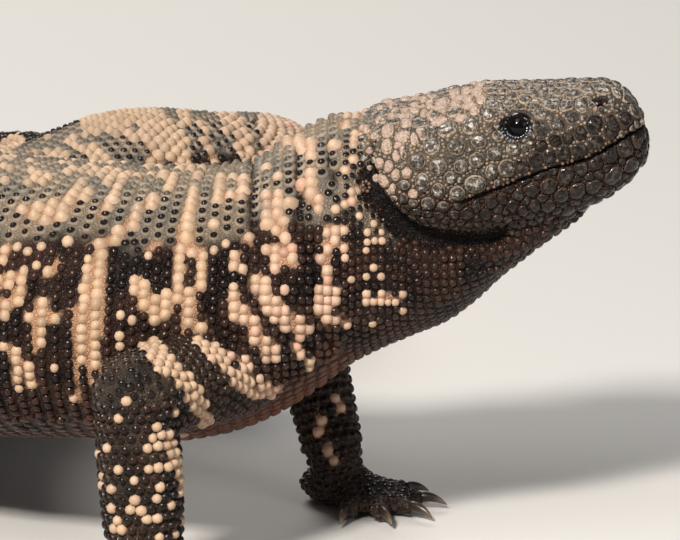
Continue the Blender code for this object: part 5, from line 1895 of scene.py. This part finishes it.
for leg_name, leg in LEGS.items():
    vertices, faces, shares = [], [], []
    for i in range(len(TOE_LENGTHS)):
        _, knuckle, tip = (np.array(p) for p in toe_points(leg, i))
        ahead = unit((tip - knuckle) * (1.0, 1.0, 0.0))
        up = np.array((0.0, 0.0, 1.0))
        side = np.cross(up, ahead)
        root = tip + ahead * (TOE_RADIUS - CLAW_ROOT_DEPTH) + up * CLAW_RISE
        start = len(vertices)
        for share in np.linspace(0.0, 1.0, CLAW_RINGS):
            drop = CLAW_DROP * share ** 2 - CLAW_ARCH * share * (1 - share)
            slope = (2 * CLAW_DROP * share - CLAW_ARCH * (1 - 2 * share)) / CLAW_LENGTH
            lift = unit(up + ahead * slope)
            middle = root + ahead * CLAW_LENGTH * share - up * drop
            radius = CLAW_RADIUS * (1 - share ** CLAW_TAPER[0]) ** CLAW_TAPER[1] + CLAW_TIP_RADIUS
            for angle in 2 * math.pi * np.arange(CLAW_SIDES) / CLAW_SIDES:
                out = CLAW_FLATNESS * math.cos(angle) * side + math.sin(angle) * lift
                vertices.append(middle + radius * out)
                shares.append(share)
        for r in range(CLAW_RINGS - 1):
            faces += band(start + r * CLAW_SIDES, start + (r + 1) * CLAW_SIDES, CLAW_SIDES)
        last = len(vertices) - CLAW_SIDES
        faces.append(tuple(start + k for k in reversed(range(CLAW_SIDES))))
        faces.append(tuple(last + k for k in range(CLAW_SIDES)))
    vertices = [(x, y, max(z, CLAW_CLEARANCE)) for x, y, z in vertices]
    claws = new_object("claws_" + leg_name, vertices, faces)
    claws.data.shade_smooth()
    give_attribute(claws.data, "point", shares)
    claws.data.materials.append(claw_finish)
    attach(claws, "root")
    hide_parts(*[f"{leg_name}_claw_{i + 1}" for i in range(len(TOE_LENGTHS))])

# The floor is plain and pale. A small key lamp stands high on the camera's left, and three large soft
# lamps and a pale world fill the shadows.
FLOOR_REACH = 20000
LAMP_AIM = (-20.0, 60.0, 50.0)
floor_corners = [(x * FLOOR_REACH, y * FLOOR_REACH, 0) for x, y in ((-1, -1), (1, -1), (1, 1), (-1, 1))]
floor = new_object("floor", floor_corners, [(0, 1, 2, 3)])
floor_finish, tree_nodes, shader = new_finish("pale_floor")
shader.inputs["Base Color"].default_value = tone(206, 202, 196)
shader.inputs["Roughness"].default_value = 0.9
floor.data.materials.append(floor_finish)
# Name, place, width, power in watts, colour.
LAMPS = (
    ("key", (-420.0, -900.0, 900.0), 170.0, 23.5, (1.0, 0.965, 0.925)),
    ("fill", (900.0, -700.0, 600.0), 500.0, 2.0, (0.95, 0.97, 1.0)),
    ("sky", (-350.0, -700.0, 1300.0), 700.0, 6.0, (0.95, 0.97, 1.0)),
    ("rim", (-300.0, 1000.0, 800.0), 500.0, 7.0, (1.0, 0.98, 0.95)),
)
for name, place, width, power, colour in LAMPS:
    lamp = bpy.data.objects.new(name, bpy.data.lights.new(name, "AREA"))
    lamp.data.size = width * MM
    lamp.data.energy = power
    lamp.data.color = colour
    lamp.location = placed(place)
    aim = Vector(placed(LAMP_AIM)) - lamp.location
    lamp.rotation_euler = aim.to_track_quat("-Z", "Y").to_euler()
    bpy.context.scene.collection.objects.link(lamp)
world = bpy.data.worlds.new("pale_room")
world.use_nodes = True
world.node_tree.nodes["Background"].inputs["Color"].default_value = tone(222, 226, 232)
world.node_tree.nodes["Background"].inputs["Strength"].default_value = 0.18
bpy.context.scene.world = world
bpy.context.scene.view_settings.view_transform = "Standard"
